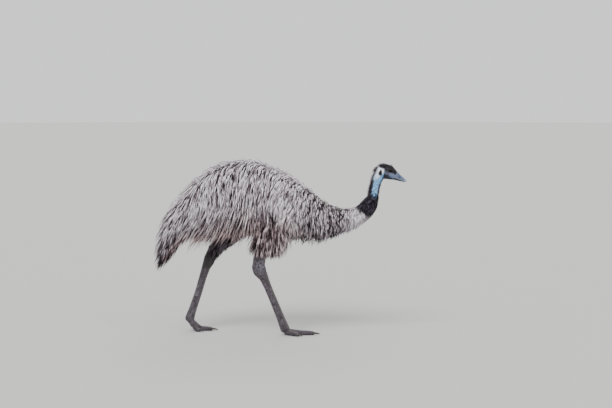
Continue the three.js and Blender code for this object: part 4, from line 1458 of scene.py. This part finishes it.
@dataclass
class Plumage:
    """The shaggy coat: loose feathers of thin strands that lie along the body and hang from its flanks."""

    bird: Bird
    seed: int = 7
    steps: int = 9
    rings: int = 3
    clump: float = 0.25
    clump_size: int = 4
    clump_wide: float = 0.003
    clump_long: float = 0.06
    clump_reach: float = 0.02
    shortest: float = 0.02
    length: tuple[float, float] = (0.65, 0.65)
    slide: float = 0.9
    drawn_in: float = 0.12
    scatter: float = 0.3
    pile: float = 0.6
    late: float = 0.16
    early: float = 0.25
    twist: float = 0.35
    fan: tuple = ((0.0, 0.55, 1.0), (0.45, 1.0, 0.5))
    taper: tuple = ((0.0, 0.35, 0.8, 1.0), (0.55, 1.0, 0.62, 0.0))

    def roots(self, coat: Coat, limb: Limb, others: list[Limb], rng: Random) -> tuple[Array, Array]:
        """Spreads a coat's roots evenly over its stretch.

        Args:
            coat: The stretch.
            limb: What it grows on.
            others: Limbs that may cover a root.
            rng: The random numbers.

        Returns:
            The shares along the limb and the angles round it.
        """
        i = np.arange(coat.feathers)
        first, last = limb.area_at(coat.start), limb.area_at(coat.end)
        t = limb.share_at(first + (last - first) * (i + rng.random(len(i))) / len(i))
        angle = (i * GOLDEN_ANGLE + 0.5 * rng.random(len(i))) % (2 * math.pi)
        p = limb.point_at(t, angle)
        keep = normal_over([limb], p)[:, 2] > coat.belly
        keep &= rng.random(len(i)) > coat.thin * smoothstep(t, coat.end - 1.1, coat.end)
        if others:
            keep &= height_over(others, p) > 0
        return t[keep], angle[keep]

    def grown(self, coat: Coat, limb: Limb, limbs: list[Limb], rng: Random) -> Paths:
        """Grows the midlines of a coat's feathers.

        Args:
            coat: How they grow.
            limb: What they grow on.
            limbs: All that they lie over.
            rng: The random numbers.

        Returns:
            The midlines.
        """
        others = [other for other in limbs if other is not limb]
        t, angle = self.roots(coat, limb, others, rng)
        count = len(t)
        p = limb.point_at(t, angle, 1.0)
        normal = normal_over([limb], limb.point_at(t, angle))
        under = smoothstep(-normal[:, 2], 0.5, 0.95)
        lift = limb.sections(t).lift
        long = coat.long * (self.length[0] + self.length[1] * rng.random(count))
        long *= 1 + coat.fall * smoothstep(-normal[:, 2], -0.25, 0.45)
        room = (p[:, 2] - coat.hem) * (0.9 + 0.25 * rng.random(count))
        long = np.minimum(long, np.maximum(room, self.shortest))
        over = smoothstep(normal[:, 2], 0.45, 0.85)
        stray = coat.stray * (1 - 0.5 * over) * rng.normal(size=count)
        bend = coat.stray * 0.8 * rng.normal(size=count)
        top = lift * (0.1 + 0.3 * over + (1.2 - 0.85 * over) * rng.random(count)**0.7) * coat.puff
        points, outs, ways = [p], [normal], []
        for k in range(self.steps):
            share = (k + 1) / self.steps
            way = turned_about(limb.lie(p, normal, under), normal, stray + bend * share)
            inwards = np.minimum(dot(way, normal), 0.0)
            way = unit(way - normal * (inwards * self.slide)[:, None])
            ways.append(way)
            p = p + way * (long / self.steps)[:, None]
            normal = normal_over(limbs, p)
            height = height_over(limbs, p)
            least = -lift + (lift + top) * min(1.0, share * 1.6)**0.75
            p = p + normal * np.maximum(least - height, 0)[:, None]
            most = np.maximum(least, coat.hang)
            p = p - normal * (np.maximum(height - most, 0) * self.drawn_in)[:, None]
            points.append(p)
            outs.append(normal)
        ways.append(ways[-1])
        points, outs, ways = (np.stack(rows, axis=1) for rows in (points, outs, ways))
        across = unit(np.cross(ways, outs))
        luck = self.gather(points, across, ways, rng)
        return Paths(points, outs, across, t, angle, luck)

    def gather(self, points: Array, across: Array, ways: Array, rng: Random) -> Array:
        """Draws the feathers together in long locks that share a shade.

        Args:
            points: The midlines, which are moved.
            across: The ways across them.
            ways: The ways along them.
            rng: The random numbers.

        Returns:
            A number from 0 to 1 for each feather, nearly alike within a lock.
        """
        leaders = rng.choice(len(points), max(len(points) // self.clump_size, 1), replace=False)
        middle = points.shape[1] // 2
        away = points[leaders, middle][None] - points[:, middle][:, None]
        sideways = (away * across[:, middle][:, None]).sum(-1) / self.clump_wide
        lengthways = (away * ways[:, middle][:, None]).sum(-1) / self.clump_long
        rest = (away**2).sum(-1) / self.clump_long**2
        near = np.argmin(sideways**2 + lengthways**2 + rest, axis=1)
        share = np.linspace(0, 1, points.shape[1])[None]**1.5
        aim = dot(away[np.arange(len(points)), near], across[:, middle])
        aim = np.clip(aim, -self.clump_reach, self.clump_reach)
        points += across * (aim[:, None] * share * self.clump)[..., None]
        return rng.random(len(leaders))[near]

    def strands(self, coat: Coat, paths: Paths, finish: Material, rng: Random) -> Object:
        """Builds a coat's feathers from thin closed strands.

        Args:
            coat: How wide and thick they are.
            paths: The midlines.
            finish: Their material.
            rng: The random numbers.

        Returns:
            The piece.
        """
        feathers, each = len(paths.points), coat.strands
        count = feathers * each
        which = np.repeat(np.arange(feathers), each)
        aside = (np.tile(np.arange(each), feathers) + 0.5) / each * 2 - 1
        aside = aside + self.scatter * rng.normal(size=count)
        over = self.pile * rng.random(count)
        start = self.late * rng.random(count)
        end = 1 - self.early * rng.random(count)**2
        phase, waves = 2 * math.pi * rng.random(count), 1.5 + 2 * rng.random(count)
        twist = self.twist * rng.normal(size=count)
        feather_luck, strand_luck = rng.random(feathers), rng.random(count)
        rings = self.rings
        ring_share = np.linspace(0, 1, rings + 1)
        share = start[:, None] + (end - start)[:, None] * ring_share[None]
        midlines = paths.points, paths.out, paths.across
        p, outs, across = (self.steps_at(rows, which, share) for rows in midlines)
        out, across = unit(outs), unit(across)
        fan = np.interp(share, *self.fan)[..., None]
        wave = (0.3 * np.sin(phase[:, None] + waves[:, None] * share * 2) * share)[..., None]
        p = p + across * coat.spread * (aside[:, None, None] * fan + wave)
        p = p + out * coat.spread * 0.35 * (over[:, None, None] * fan)
        way = unit(np.gradient(p, axis=1))
        across = unit(across * np.cos(twist)[:, None, None] + out * np.sin(twist)[:, None, None])
        across = unit(across - way * dot(across, way)[..., None])
        out = np.cross(across, way)
        out *= np.sign(dot(out, outs))[..., None]
        width = coat.strand * (0.8 + 0.4 * strand_luck)[:, None] * np.interp(ring_share, *self.taper)[None]
        half, thick = (width / 2)[..., None], (width * 0.42)[..., None]
        corners = np.stack([p - across * half, p + across * half, p + out * thick], axis=2)
        body = corners[:, :rings].reshape(count, rings * 3, 3)
        points = np.concatenate([body, p[:, rings:rings + 1]], axis=1)
        per = rings * 3 + 1
        pattern = self.strand_faces(rings)
        faces = (pattern[None] + (np.arange(count) * per)[:, None, None]).reshape(-1, 3)
        made = mesh_object(coat.name, points.reshape(-1, 3), faces)
        along = np.concatenate([np.repeat(share[:, :rings], 3, axis=1), share[:, rings:]], axis=1)
        give(made, "along", along.ravel())
        luck = 0.15 * paths.luck[which] + 0.65 * feather_luck[which] + 0.2 * strand_luck
        give(made, "luck", np.repeat(luck, per))
        roots = paths.points[:, 0]
        for name, values in Markings(self.bird).on_coat(roots).items():
            give(made, name, np.repeat(values[which], per))
        self.bake_map(made, coat, paths, which, aside, along, faces)
        made.data.materials.append(finish)
        return made

    def steps_at(self, rows: Array, which: Array, share: Array) -> Array:
        """Values between the steps of midlines.

        Args:
            rows: Values at every step, one row for each feather.
            which: Each strand's feather.
            share: Shares of the feather, one row for each strand.

        Returns:
            One value for each share.
        """
        at = share * self.steps
        low = np.clip(at.astype(int), 0, self.steps - 1)
        f = (at - low)[..., None]
        return rows[which[:, None], low] * (1 - f) + rows[which[:, None], low + 1] * f

    @staticmethod
    def strand_faces(rings: int) -> Array:
        """The triangles of one strand: a root, three sides and a tip.

        Args:
            rings: How many rings of three points it has.

        Returns:
            Each triangle's corners.
        """
        faces = [(0, 2, 1)]
        for k in range(rings - 1):
            for j in range(3):
                p, q = 3 * k + j, 3 * k + (j + 1) % 3
                faces += [(p, q, q + 3), (p, q + 3, p + 3)]
        tip, last = 3 * rings, 3 * (rings - 1)
        faces += [(last + j, last + (j + 1) % 3, tip) for j in range(3)]
        return np.array(faces)

    @staticmethod
    def bake_map(piece: Object, coat: Coat, paths: Paths, which: Array, aside: Array, along: Array,
                 faces: Array) -> None:
        """Maps each feather to a small patch at its root's place on an unwrap of the skin.

        Args:
            piece: The coat's piece.
            coat: Its stretch, whose ends are the map's ends.
            paths: The midlines, with their roots' shares and angles.
            which: Each strand's feather.
            aside: Where each strand lies across its feather.
            along: How far along its feather each point is, one row for each strand.
            faces: The piece's triangles.
        """
        u = (paths.share - coat.start) / (coat.end - coat.start)
        v = paths.angle / (2 * math.pi)
        room = 1 - 2 * BAKE_PATCH
        u_all = BAKE_PATCH + room * u[which][:, None] + BAKE_PATCH * 0.45 * np.clip(aside, -1, 1)[:, None]
        v_all = BAKE_PATCH + room * v[which][:, None] + BAKE_PATCH * (along - 0.5)
        pairs = np.stack([np.repeat(u_all, along.shape[1], axis=1), v_all], axis=-1).reshape(-1, 2)
        map_faces(piece, pairs, faces.ravel())

    def made(self, coat: Coat, finish: Material, index: int) -> Object:
        """Builds one piece of the coat.

        Args:
            coat: How it grows.
            finish: Its material.
            index: Its place in the order, which sets its random numbers.

        Returns:
            The piece.
        """
        rng = np.random.default_rng(self.seed * 100 + index)
        if coat.limb == "trunk":
            limb = self.bird.trunk
            limbs = self.bird.body if coat.start < 12 else [limb]
        else:
            limb = getattr(self.bird, coat.limb)[coat.side]
            limbs = [limb, self.bird.trunk]
        made = self.strands(coat, self.grown(coat, limb, limbs, rng), finish, rng)
        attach(made, BODY)
        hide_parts(*coat.nodes)
        return made


@dataclass
class Bristles:
    """Short hair-like feathers of the crown, the nape, the throat and, thinly, the bare skin."""

    bird: Bird
    spacing: float = 0.0019
    long: float = 0.0105
    width: float = 0.00042
    lean: float = 0.55
    bend: float = 0.35
    seed: int = 11

    def tree(self, finish: Material) -> FormTree:
        """The tree that grows a bristle at points spread over the skin.

        Args:
            finish: The bristles' material.

        Returns:
            The tree.
        """
        tree = FormTree("bristles", Spacing=self.spacing, Width=self.width, Lean=self.lean, Bend=self.bend,
                        Seed=self.seed, Finish=finish)
        spread = tree.node("GeometryNodeDistributePointsOnFaces", {"distribute_method": "POISSON"},
                           {"Mesh": tree.given("Geometry"), "Distance Min": tree.given("Spacing"),
                            "Density Max": 400000.0, "Density Factor": tree.carried("growth"),
                            "Seed": tree.given("Seed")})
        points, normal = Sum(tree, spread.outputs["Points"]), Sum(tree, spread.outputs["Normal"])
        cone = tree.take("GeometryNodeMeshCone", "Mesh", {},
                         {"Vertices": 3, "Side Segments": 2, "Radius Top": 0.0, "Radius Bottom": 1.0,
                          "Depth": 1.0})
        height = tree.parts(tree.position())[2]
        offset = tree.combined(X=height * height * tree.given("Bend") * -1.0)
        cone = tree.stored(cone, "along", height, "FLOAT", "POINT")
        lean = tree.vectors("SCALE", normal, tree.given("Lean") * tree.luck(0.6, 1.4, 1))
        aside = tree.take("FunctionNodeRandomValue", "Value", {"data_type": "FLOAT_VECTOR"},
                          {"Min": (-0.3, -0.3, -0.3), "Max": (0.3, 0.3, 0.3), "Seed": tree.given("Seed") + 2})
        way = tree.vectors("ADD", tree.vectors("ADD", tree.carried("lie", "FLOAT_VECTOR"), lean), aside)
        wide = tree.given("Width") * tree.luck(0.7, 1.3, 3)
        size = tree.combined(X=wide, Y=wide, Z=tree.carried("long") * tree.luck(0.55, 1.3, 4))
        bent = tree.take("GeometryNodeSetPosition", "Geometry", {}, {"Geometry": cone, "Offset": offset})
        grown = tree.take("GeometryNodeInstanceOnPoints", "Instances", {},
                          {"Points": points, "Instance": bent, "Rotation": tree.turned("ZX", way, normal),
                           "Scale": size})
        grown = tree.stored(grown, "root", tree.position(), "FLOAT_VECTOR", "INSTANCE")
        grown = tree.stored(grown, "luck", tree.luck(0.0, 1.0, 5), "FLOAT", "INSTANCE")
        tree.ended(grown)
        return tree

    def made(self, skin: Object, finish: Material) -> Object:
        """Grows the bristles on the skin.

        Args:
            skin: The finished skin.
            finish: The bristles' material.

        Returns:
            The piece.
        """
        made = linked("head_bristles", skin.data.copy())
        made.data.name = made.name
        points = places_of(made)
        found = Markings(self.bird).on_skin(points)
        t, s, away = self.bird.trunk.around(points)
        q = self.bird.in_head(points)
        head = smoothstep(q[:, 0], -0.062, -0.035) * smoothstep(q[:, 1], -0.09, -0.05)
        crown = smoothstep(q[:, 1], 0.010, 0.030)
        tuft = hump(q[:, 0], 0.020, 0.014) * smoothstep(q[:, 1], 0.030, 0.040)
        face = smoothstep(q[:, 0], -0.015, 0.015)
        from_eye = np.linalg.norm(q - [*self.bird.EYE[:2], 0], axis=1)
        round_eye = hump(from_eye, 0.026, 0.014) * (np.abs(q[:, 2]) > 0.026)
        growth = found["bare"] * (0.05 + 0.95 * found["black"]**2)
        growth *= 1 - 0.9 * round_eye
        growth *= fading(q[:, 0], 0.056, 0.062)
        growth *= smoothstep(t, 16.6, 17.2)
        nape = smoothstep(dot(away, s.back), 0.012, 0.028) * (1 - head)
        long = self.long + 0.005 * crown * (1 - face) - 0.006 * face * head + 0.011 * tuft + 0.009 * nape
        lie = -s.along * (1 - head)[:, None] - np.array(self.bird.along) * head[:, None]
        lie = unit(lie + np.array(self.bird.over) * (1.1 * tuft)[:, None])
        lie = unit(lie + s.back * (0.25 * nape)[:, None])
        for name, values in (("growth", growth), ("long", long), ("lie", lie)):
            give(made, name, values)
        self.tree(finish).grown(made)
        self.bake_map(made)
        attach(made, BODY)
        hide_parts("head", "neck_upper")
        return made

    def bake_map(self, piece: Object) -> None:
        """Maps each bristle to a small patch at its root's place on an unwrap of the head and neck.

        Args:
            piece: The grown bristles.
        """
        count = len(piece.data.vertices)
        roots = read(piece.data.attributes["root"].data, "vector", 3).astype(float)
        along = read(piece.data.attributes["along"].data, "value", 1)[:, 0]
        t, s, away = self.bird.trunk.around(roots)
        ahead = np.clip(dot(away, s.along) / 0.15, 0, 1)
        u = (t - 16.0) / 5.0 * 0.6 + ahead * 0.38
        v = np.arctan2(dot(away, s.side), dot(away, s.back)) / (2 * math.pi) + 0.5
        across = np.tile([0.0, 0.5, 1.0], count // 3 + 1)[:count]
        room = 1 - 2 * BAKE_PATCH
        pairs = np.stack([BAKE_PATCH + room * np.clip(u, 0, 1) + BAKE_PATCH * (across - 0.5),
                          BAKE_PATCH + room * v + BAKE_PATCH * (along - 0.5)], axis=1)
        corners = np.empty(len(piece.data.loops), np.int32)
        piece.data.loops.foreach_get("vertex_index", corners)
        map_faces(piece, pairs, corners)


@dataclass
class Face:
    """The eyes and the bill."""

    bird: Bird
    upper: tuple = metres(
        (60.5, 28.5, -13, 22.5), (76, 23, -12.5, 19.5), (90, 17.5, -12, 16.5), (104, 13, -11, 13),
        (118, 9, -9.8, 9.5), (130, 5, -8.8, 6.5), (137.5, 0.2, -8.5, 3.5),
    )
    lower: tuple = metres(
        (60.5, -13.8, -26.2, 20.8), (82, -13, -22, 16.5), (102, -11.8, -17.5, 12),
        (118, -10.8, -14.5, 8), (128.5, -10, -12.5, 4.5),
    )
    nostril: tuple[float, float] = (0.088, 0.003)
    bill_edge: float = -0.0095
    bill_ridge: float = 0.004
    cornea: float = 0.0007
    eye_room: float = 0.0001

    def horn(self, name: str, rows: tuple, middle: float, power: tuple[float, float]) -> Object:
        """One half of the bill.

        Args:
            name: The piece's name.
            rows: How far ahead, top, bottom and half width at each station.
            middle: The share of the height at which it is widest.
            power: How square its sections are above and below.

        Returns:
            The piece.
        """
        table = np.array(rows)
        along = np.linspace(0, len(rows) - 1, 96)
        r = spline(table, along)
        tall = r[:, 1] - r[:, 2]
        c = np.array([self.bird.head_point(a, b + h * middle) for a, b, h in zip(r[:, 0], r[:, 2], tall)])
        back, side = np.tile(self.bird.over, (len(c), 1)), np.tile(SIDEWAYS, (len(c), 1))
        rings = section_rings(c, back, side, tall * (1 - middle), tall * middle, r[:, 3], 56, power)
        ahead = np.array(self.bird.along)
        made = loft(name, rings, np.array([c[0] - ahead * 0.003, c[-1] + ahead * 0.0018]))
        q = self.bird.in_head(places_of(made))
        edge = hump(q[:, 1], self.bill_edge, 0.0032) * (name == "bill_top")
        give(made, "tip", np.maximum(0.8 * smoothstep(q[:, 0], 0.108, 0.138), 0.8 * edge))
        return made

    def bill(self, finishes: tuple[Material, Material]) -> list[Object]:
        """Both halves of the bill, the upper with its nostrils and their grooves.

        Args:
            finishes: The material of the upper half, and of the lower.

        Returns:
            The pieces.
        """
        upper = self.horn("bill_top", self.upper, 0.34, (1.75, 3.2))
        points, normals = places_of(upper), normals_of(upper)
        q = self.bird.in_head(points)
        forward, up = self.nostril
        slot = ((q[:, 0] - forward) / 0.0075)**2 + ((q[:, 1] - up - 0.12 * (forward - q[:, 0])) / 0.0021)**2
        groove = ((q[:, 0] - 0.092) / 0.024)**4 + ((q[:, 1] - 0.0045) / 0.0055)**2
        edge = hump(q[:, 1], self.bill_edge, 0.0022) * 0.0005
        flank = np.abs(q[:, 2]) > self.bill_ridge
        lift = (edge - 0.0034 * np.exp(-slot**2) - 0.0009 * np.exp(-groove)) * flank
        move_points(upper, points + normals * lift[:, None])
        # dark marks the nostrils for painted shade inside them
        give(upper, "dark", np.exp(-(slot * 0.7)**2) * flank)
        lower = self.horn("bill_under", self.lower, 0.7, (3.0, 1.9))
        for piece, node, finish in ((upper, "bill_upper", finishes[0]), (lower, "bill_lower", finishes[1])):
            piece.data.materials.append(finish)
            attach(piece, BODY)
            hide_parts(node)
        return [upper, lower]

    def eye(self, side: Side, finish: Material) -> Object:
        """One eye, with its cornea standing out.

        Args:
            side: Which eye.
            finish: Its material.

        Returns:
            The piece.
        """
        made = ball(f"eye_ball_{side.word}", 5, self.bird.EYE_RADIUS - self.eye_room, Vector())
        points = places_of(made)
        q = unit(points)
        wide = np.hypot(q[:, 0], q[:, 2]) + (q[:, 1] * side.value < 0) * 2
        bulge = self.cornea * fading(wide, 0.35, 0.75)
        move_points(made, np.array(self.bird.eye_middle(side)) + points + q * bulge[:, None])
        give(made, "out", wide)
        made.data.shade_smooth()
        made.data.materials.append(finish)
        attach(made, BODY)
        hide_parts(f"eye_{side.word}")
        return made


@dataclass
class Legs:
    """The scaled shanks and toes, with their plates and claws."""

    bird: Bird
    step: float = 0.0021
    shank: tuple[float, float] = (2.5, 8.4)
    shank_plates: int = 30
    toe_plates: tuple[tuple[str, int], ...] = (("middle", 15), ("side", 9))
    claws: tuple[tuple[str, float], ...] = (("middle", 0.040), ("side", 0.027))
    breadth: float = 1.08
    plate_thick: float = 0.16
    plate_wrap: float = 0.36
    plate_lift: float = 0.10
    claw_form: tuple = (
        (-0.20, 0.0008, 0.60), (0.10, 0.0012, 0.60), (0.45, 0.0005, 0.48), (0.75, -0.0020, 0.33),
        (0.97, -0.0046, 0.12),
    )
    bare: dict[Side, float] = field(default_factory=lambda: {Side.RIGHT: 3.1, Side.LEFT: 4.0})

    def toes(self, side: Side) -> dict[str, tuple[str, Limb, float]]:
        """The toes of one foot.

        Args:
            side: Which foot.

        Returns:
            For each toe its kind, its form and its turn on the floor.
        """
        ball = self.bird.tarsus[side].line[8 * Limb.STEPS]
        shapes = TOE_FLAT if side is Side.RIGHT else TOE_RAISED
        found = {}
        for toe, turn in (("inner", -1), ("middle", 0), ("outer", 1)):
            yaw = side.value * turn * self.bird.SPLAY
            kind = "middle" if turn == 0 else "side"
            rows = [Station(ball[0] + math.cos(yaw) * out, ball[1] + math.sin(yaw) * out, z, r, r,
                            r * self.breadth) for out, z, r in shapes[kind]]
            found[toe] = kind, Limb(tuple(rows), Vector()), yaw
        return found

    def tube(self, limb: Limb, rings: int, sides: int, pads: float = 0.0, start: float = 0.0) -> Object:
        """A limb as a closed skin, with pads under it where it is a toe.

        Args:
            limb: The limb.
            rings: How many rings it has.
            sides: How many points go round.
            pads: How far its pads stand out against its thickness.
            start: The share at which it begins.

        Returns:
            The skin.
        """
        t = np.linspace(start, limb.last, rings)
        s = limb.sections(t)
        swell = 1 + pads * np.cos(2 * math.pi * t * 1.25)
        up, down, half = s.up * (1 + 0.3 * (swell - 1)), s.down * swell, s.half * swell
        made = section_rings(s.c, s.back, s.side, up, down, half, sides)
        tips = (s.c[0] - s.along[0] * s.half[0] * 0.3, s.c[-1] + s.along[-1] * s.half[-1] * 0.45)
        return loft("length", made, np.array(tips))

    def skin(self, finish: Material) -> Object:
        """Builds the skin of both legs.

        Args:
            finish: Its material.

        Returns:
            The piece.
        """
        pieces = []
        for side in Side:
            tarsus = self.bird.tarsus[side]
            pieces.append(self.tube(tarsus, 60, 28))
            pieces.append(self.tube(self.bird.thigh[side], 30, 28, start=self.bare[side]))
            pieces += [self.tube(toe, 40, 24, 0.07) for _, toe, _ in self.toes(side).values()]
        made = joined(pieces, "leg_skin")
        modified(made, "REMESH", mode="VOXEL", voxel_size=self.step, use_smooth_shade=True)
        modified(made, "SMOOTH", factor=0.5, iterations=3)
        points, normals = places_of(made), normals_of(made)
        lumps = np.sin(points[:, 2] * 210) * np.sin(points[:, 0] * 160 + 2) * np.sin(points[:, 1] * 190 + 1)
        points = points + normals * (0.0005 * lumps)[:, None]
        points[:, 2] = np.maximum(points[:, 2], 0.0)
        move_points(made, points)
        low = fading(points[:, 2], 0.02, 0.12)
        far = smoothstep(points[:, 2], 0.34, 0.44) * (points[:, 1] > 0)
        give(made, "shade", 0.25 * low + 0.7 * far)
        # painted highlight: pale marks the front of the near ankle, lighter as where light falls on it
        _, _, away = self.bird.tarsus[Side.RIGHT].around(points)
        front = smoothstep(away[:, 0], -0.03, -0.005) * (points[:, 1] < 0)
        give(made, "pale", front * hump(points[:, 2], 0.435, 0.05))
        made.data.materials.append(finish)
        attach(made, BODY)
        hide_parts("tarsus_right", "tarsus_left", "foot_right", "foot_left")
        return made

    def rail(self) -> Object:
        """The places of the plates, each with the way down the limb, the way out and the plate's size.

        Returns:
            The piece that the plates grow on.
        """
        rows = []
        for side in Side:
            rows.append(self.stops(self.bird.tarsus[side], *self.shank, self.shank_plates, 1.45))
            for kind, toe, _ in self.toes(side).values():
                rows.append(self.stops(toe, 0.35, toe.last, dict(self.toe_plates)[kind], 1.35))
        points, ways, outs, sizes = (np.concatenate([row[i] for row in rows]) for i in range(4))
        made = mesh_object("leg_plates", points, [])
        for name, values in (("way", ways), ("out", outs), ("size", sizes)):
            give(made, name, values)
        return made

    @staticmethod
    def stops(limb: Limb, start: float, end: float, count: int, wide: float) -> list[Array]:
        """Places along the front or the top of a limb.

        Args:
            limb: The limb.
            start: The share at which they begin.
            end: The share at which they end.
            count: How many there are.
            wide: A plate's width against the limb's half width.

        Returns:
            The places, the ways down the limb, the ways out and the plates' sizes.
        """
        t = start + (end - start) * (np.arange(count) + 0.5) / count
        s = limb.sections(t)
        surface = s.c + s.back * s.up[:, None]
        span = np.linalg.norm(np.gradient(surface, axis=0), axis=1)
        size = np.stack([span * 1.22, s.half * wide, s.half], axis=1)
        return [surface, s.along, s.back, size]

    def plate_tree(self, finish: Material) -> FormTree:
        """The tree that sets a plate on each place of the rail.

        Args:
            finish: The plates' material.

        Returns:
            The tree.
        """
        tree = FormTree("plates", Thick=self.plate_thick, Wrap=self.plate_wrap, Lift=self.plate_lift,
                        Finish=finish)
        block = tree.take("GeometryNodeMeshCube", "Mesh", {},
                          {"Size": (1.0, 1.0, 1.0), "Vertices X": 4, "Vertices Y": 5, "Vertices Z": 2})
        x, y, z = tree.parts(tree.position())
        rim = (y * y + x * x * 0.35) * 4.0
        height = z * tree.given("Thick") * (1 - 0.55 * rim) + x * tree.given("Lift")
        height = height - y * y * 4.0 * tree.given("Wrap")
        place = tree.combined(X=x * (1 - y * y * 1.1), Y=y, Z=height)
        plate = tree.take("GeometryNodeSetPosition", "Geometry", {}, {"Geometry": block, "Position": place})
        way, out, size = (tree.carried(name, "FLOAT_VECTOR") for name in ("way", "out", "size"))
        sockets = {"Points": tree.given("Geometry"), "Instance": plate,
                   "Rotation": tree.turned("XZ", way, out), "Scale": size}
        tree.ended(tree.take("GeometryNodeInstanceOnPoints", "Instances", {}, sockets))
        return tree

    def plates(self, finish: Material) -> Object:
        """The plates down the shanks and the toes."""
        made = self.plate_tree(finish).grown(self.rail())
        made.data.shade_smooth()
        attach(made, BODY)
        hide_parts("tarsus_right", "tarsus_left", "foot_right", "foot_left")
        return made

    def claw(self, side: Side, toe: str, finish: Material) -> Object:
        """One claw, bent down from the end of its toe.

        Args:
            side: Which foot.
            toe: Which toe.
            finish: Its material.

        Returns:
            The piece.
        """
        kind, limb, yaw = self.toes(side)[toe]
        end, r = limb.table[-1, :3], limb.table[-1, 3]
        rows = np.array(self.claw_form)
        share, up, thick = spline(rows, np.linspace(0, len(rows) - 1, 30)).T
        ahead = np.array([math.cos(yaw), math.sin(yaw), 0.0])
        c = end + ahead * (share * dict(self.claws)[kind])[:, None]
        c[:, 2] += up
        along = unit(np.gradient(c, axis=0))
        side_way = np.tile([-math.sin(yaw), math.cos(yaw), 0.0], (len(c), 1))
        back = np.cross(along, side_way)
        wide = r * thick
        rings = section_rings(c, back, side_way, wide, wide * 0.8, wide * 0.92, 20, (1.7, 2.6))
        name = f"claw_horn_{side.word}_{toe}"
        made = loft(name, rings, np.array([c[0] - along[0] * 0.001, c[-1] + along[-1] * 0.0012]))
        give(made, "tip", smoothstep(places_of(made) @ ahead, float(c[0] @ ahead), float(c[-1] @ ahead)))
        made.data.materials.append(finish)
        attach(made, BODY)
        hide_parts(f"claw_{side.word}_{toe}")
        return made


@dataclass
class Studio:
    """The pale floor, the soft light and the camera of the photograph."""

    bird: Bird
    away: float = 7.5
    height: float = 1.44
    middle: tuple[float, float] = (0.159, 0.786)
    lens: float = 73.53
    film: float = 36.0
    sky: float = 1.1
    sky_tint: tuple[float, float, float, float] = (0.985, 0.99, 1.0, 1.0)
    floor_reach: float = 60.0
    floor_sides: int = 96
    floor_gap: float = 0.0004
    suns: tuple = (
        ("key", (-0.45, -0.75, 1.0), 0.5, 2.5),
        ("fill", (0.8, -0.6, 0.5), 0.7, 0.5),
        ("back", (0.1, 0.9, 0.8), 0.7, 0.6),
    )

    def floor(self, finish: Material) -> Object:
        """Lays a wide round floor just under the feet.

        Args:
            finish: Its material.

        Returns:
            The floor.
        """
        turn = np.linspace(0, 2 * math.pi, self.floor_sides, endpoint=False)
        level = np.full(self.floor_sides, -self.floor_gap)
        rim = np.stack([np.cos(turn) * self.floor_reach, np.sin(turn) * self.floor_reach, level], axis=1)
        made = mesh_object("floor", rim, [tuple(range(self.floor_sides))])
        made.data.materials.append(finish)
        return made

    def sun(self, name: str, source: tuple[float, float, float], angle: float, power: float) -> None:
        """A soft light that falls evenly on the bird and the whole floor.

        Args:
            name: Its name.
            source: The way to where it comes from.
            angle: How wide its source looks.
            power: Its strength.
        """
        data = bpy.data.lights.new(name, "SUN")
        data.angle, data.energy = angle, power
        linked(name, data).rotation_euler = Vector(source).to_track_quat("Z", "Y").to_euler()

    def made(self, finish: Material) -> None:
        """Sets the floor, the lights and the camera.

        Args:
            finish: The floor's material.
        """
        self.floor(finish)
        for sun in self.suns:
            self.sun(*sun)
        world = bpy.data.worlds.new("studio")
        world.use_nodes = True
        background = world.node_tree.nodes["Background"].inputs
        background["Color"].default_value = self.sky_tint
        background["Strength"].default_value = self.sky
        bpy.context.scene.world = world
        data = bpy.data.cameras.new("camera")
        data.sensor_fit, data.sensor_width, data.lens = "HORIZONTAL", self.film, self.lens
        camera = linked("camera", data)
        camera.location = (self.bird.place.x + self.middle[0], -self.away, self.height)
        pitch = math.atan2(self.height - self.middle[1], self.away)
        camera.rotation_euler = (math.pi / 2 - pitch, 0.0, 0.0)
        bpy.context.scene.camera = camera


def report(piece: Object) -> None:
    """Reports a piece and its triangles."""
    piece.data.calc_loop_triangles()
    log.info("%s: %d triangles", piece.name, len(piece.data.loop_triangles))


def main() -> None:
    """Builds the studio and the bird, piece by piece."""
    logging.basicConfig(level=logging.INFO, format="%(name)s: %(message)s")
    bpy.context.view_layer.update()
    bird = Bird()
    Studio(bird).made(FloorFinish().made())
    skin = Skin(bird).made(SkinFinish().made())
    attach(skin, BODY)
    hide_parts("torso", "tail", "neck_base", "neck_ruff", "neck_upper", "head", "ear_right",
                "ear_left", "wing_right", "wing_left", "thigh_right", "thigh_left")
    report(skin)
    feathers = PlumageFinish().made()
    plumage = Plumage(bird)
    for index, coat in enumerate(COATS):
        report(plumage.made(coat, feathers, index))
    report(Bristles(bird).made(skin, feathers))
    face = Face(bird)
    horns = HornFinish("bill", "5C6987", "A0ABC2", 0.36), HornFinish("bill_under", "1E1F24", "3A3D42", 0.42)
    for piece in face.bill(tuple(horn.made() for horn in horns)):
        report(piece)
    eye = EyeFinish().made()
    for side in Side:
        report(face.eye(side, eye))
    legs, scales = Legs(bird), LegFinish().made()
    report(legs.skin(scales))
    report(legs.plates(HornFinish("plates", "5F585A", "5F585A", 0.5).made()))
    horn = HornFinish("claw", "3A3330", "1E1A19", 0.35).made()
    for side in Side:
        for toe in ("inner", "middle", "outer"):
            report(legs.claw(side, toe, horn))


if __name__ == "__main__":
    main()
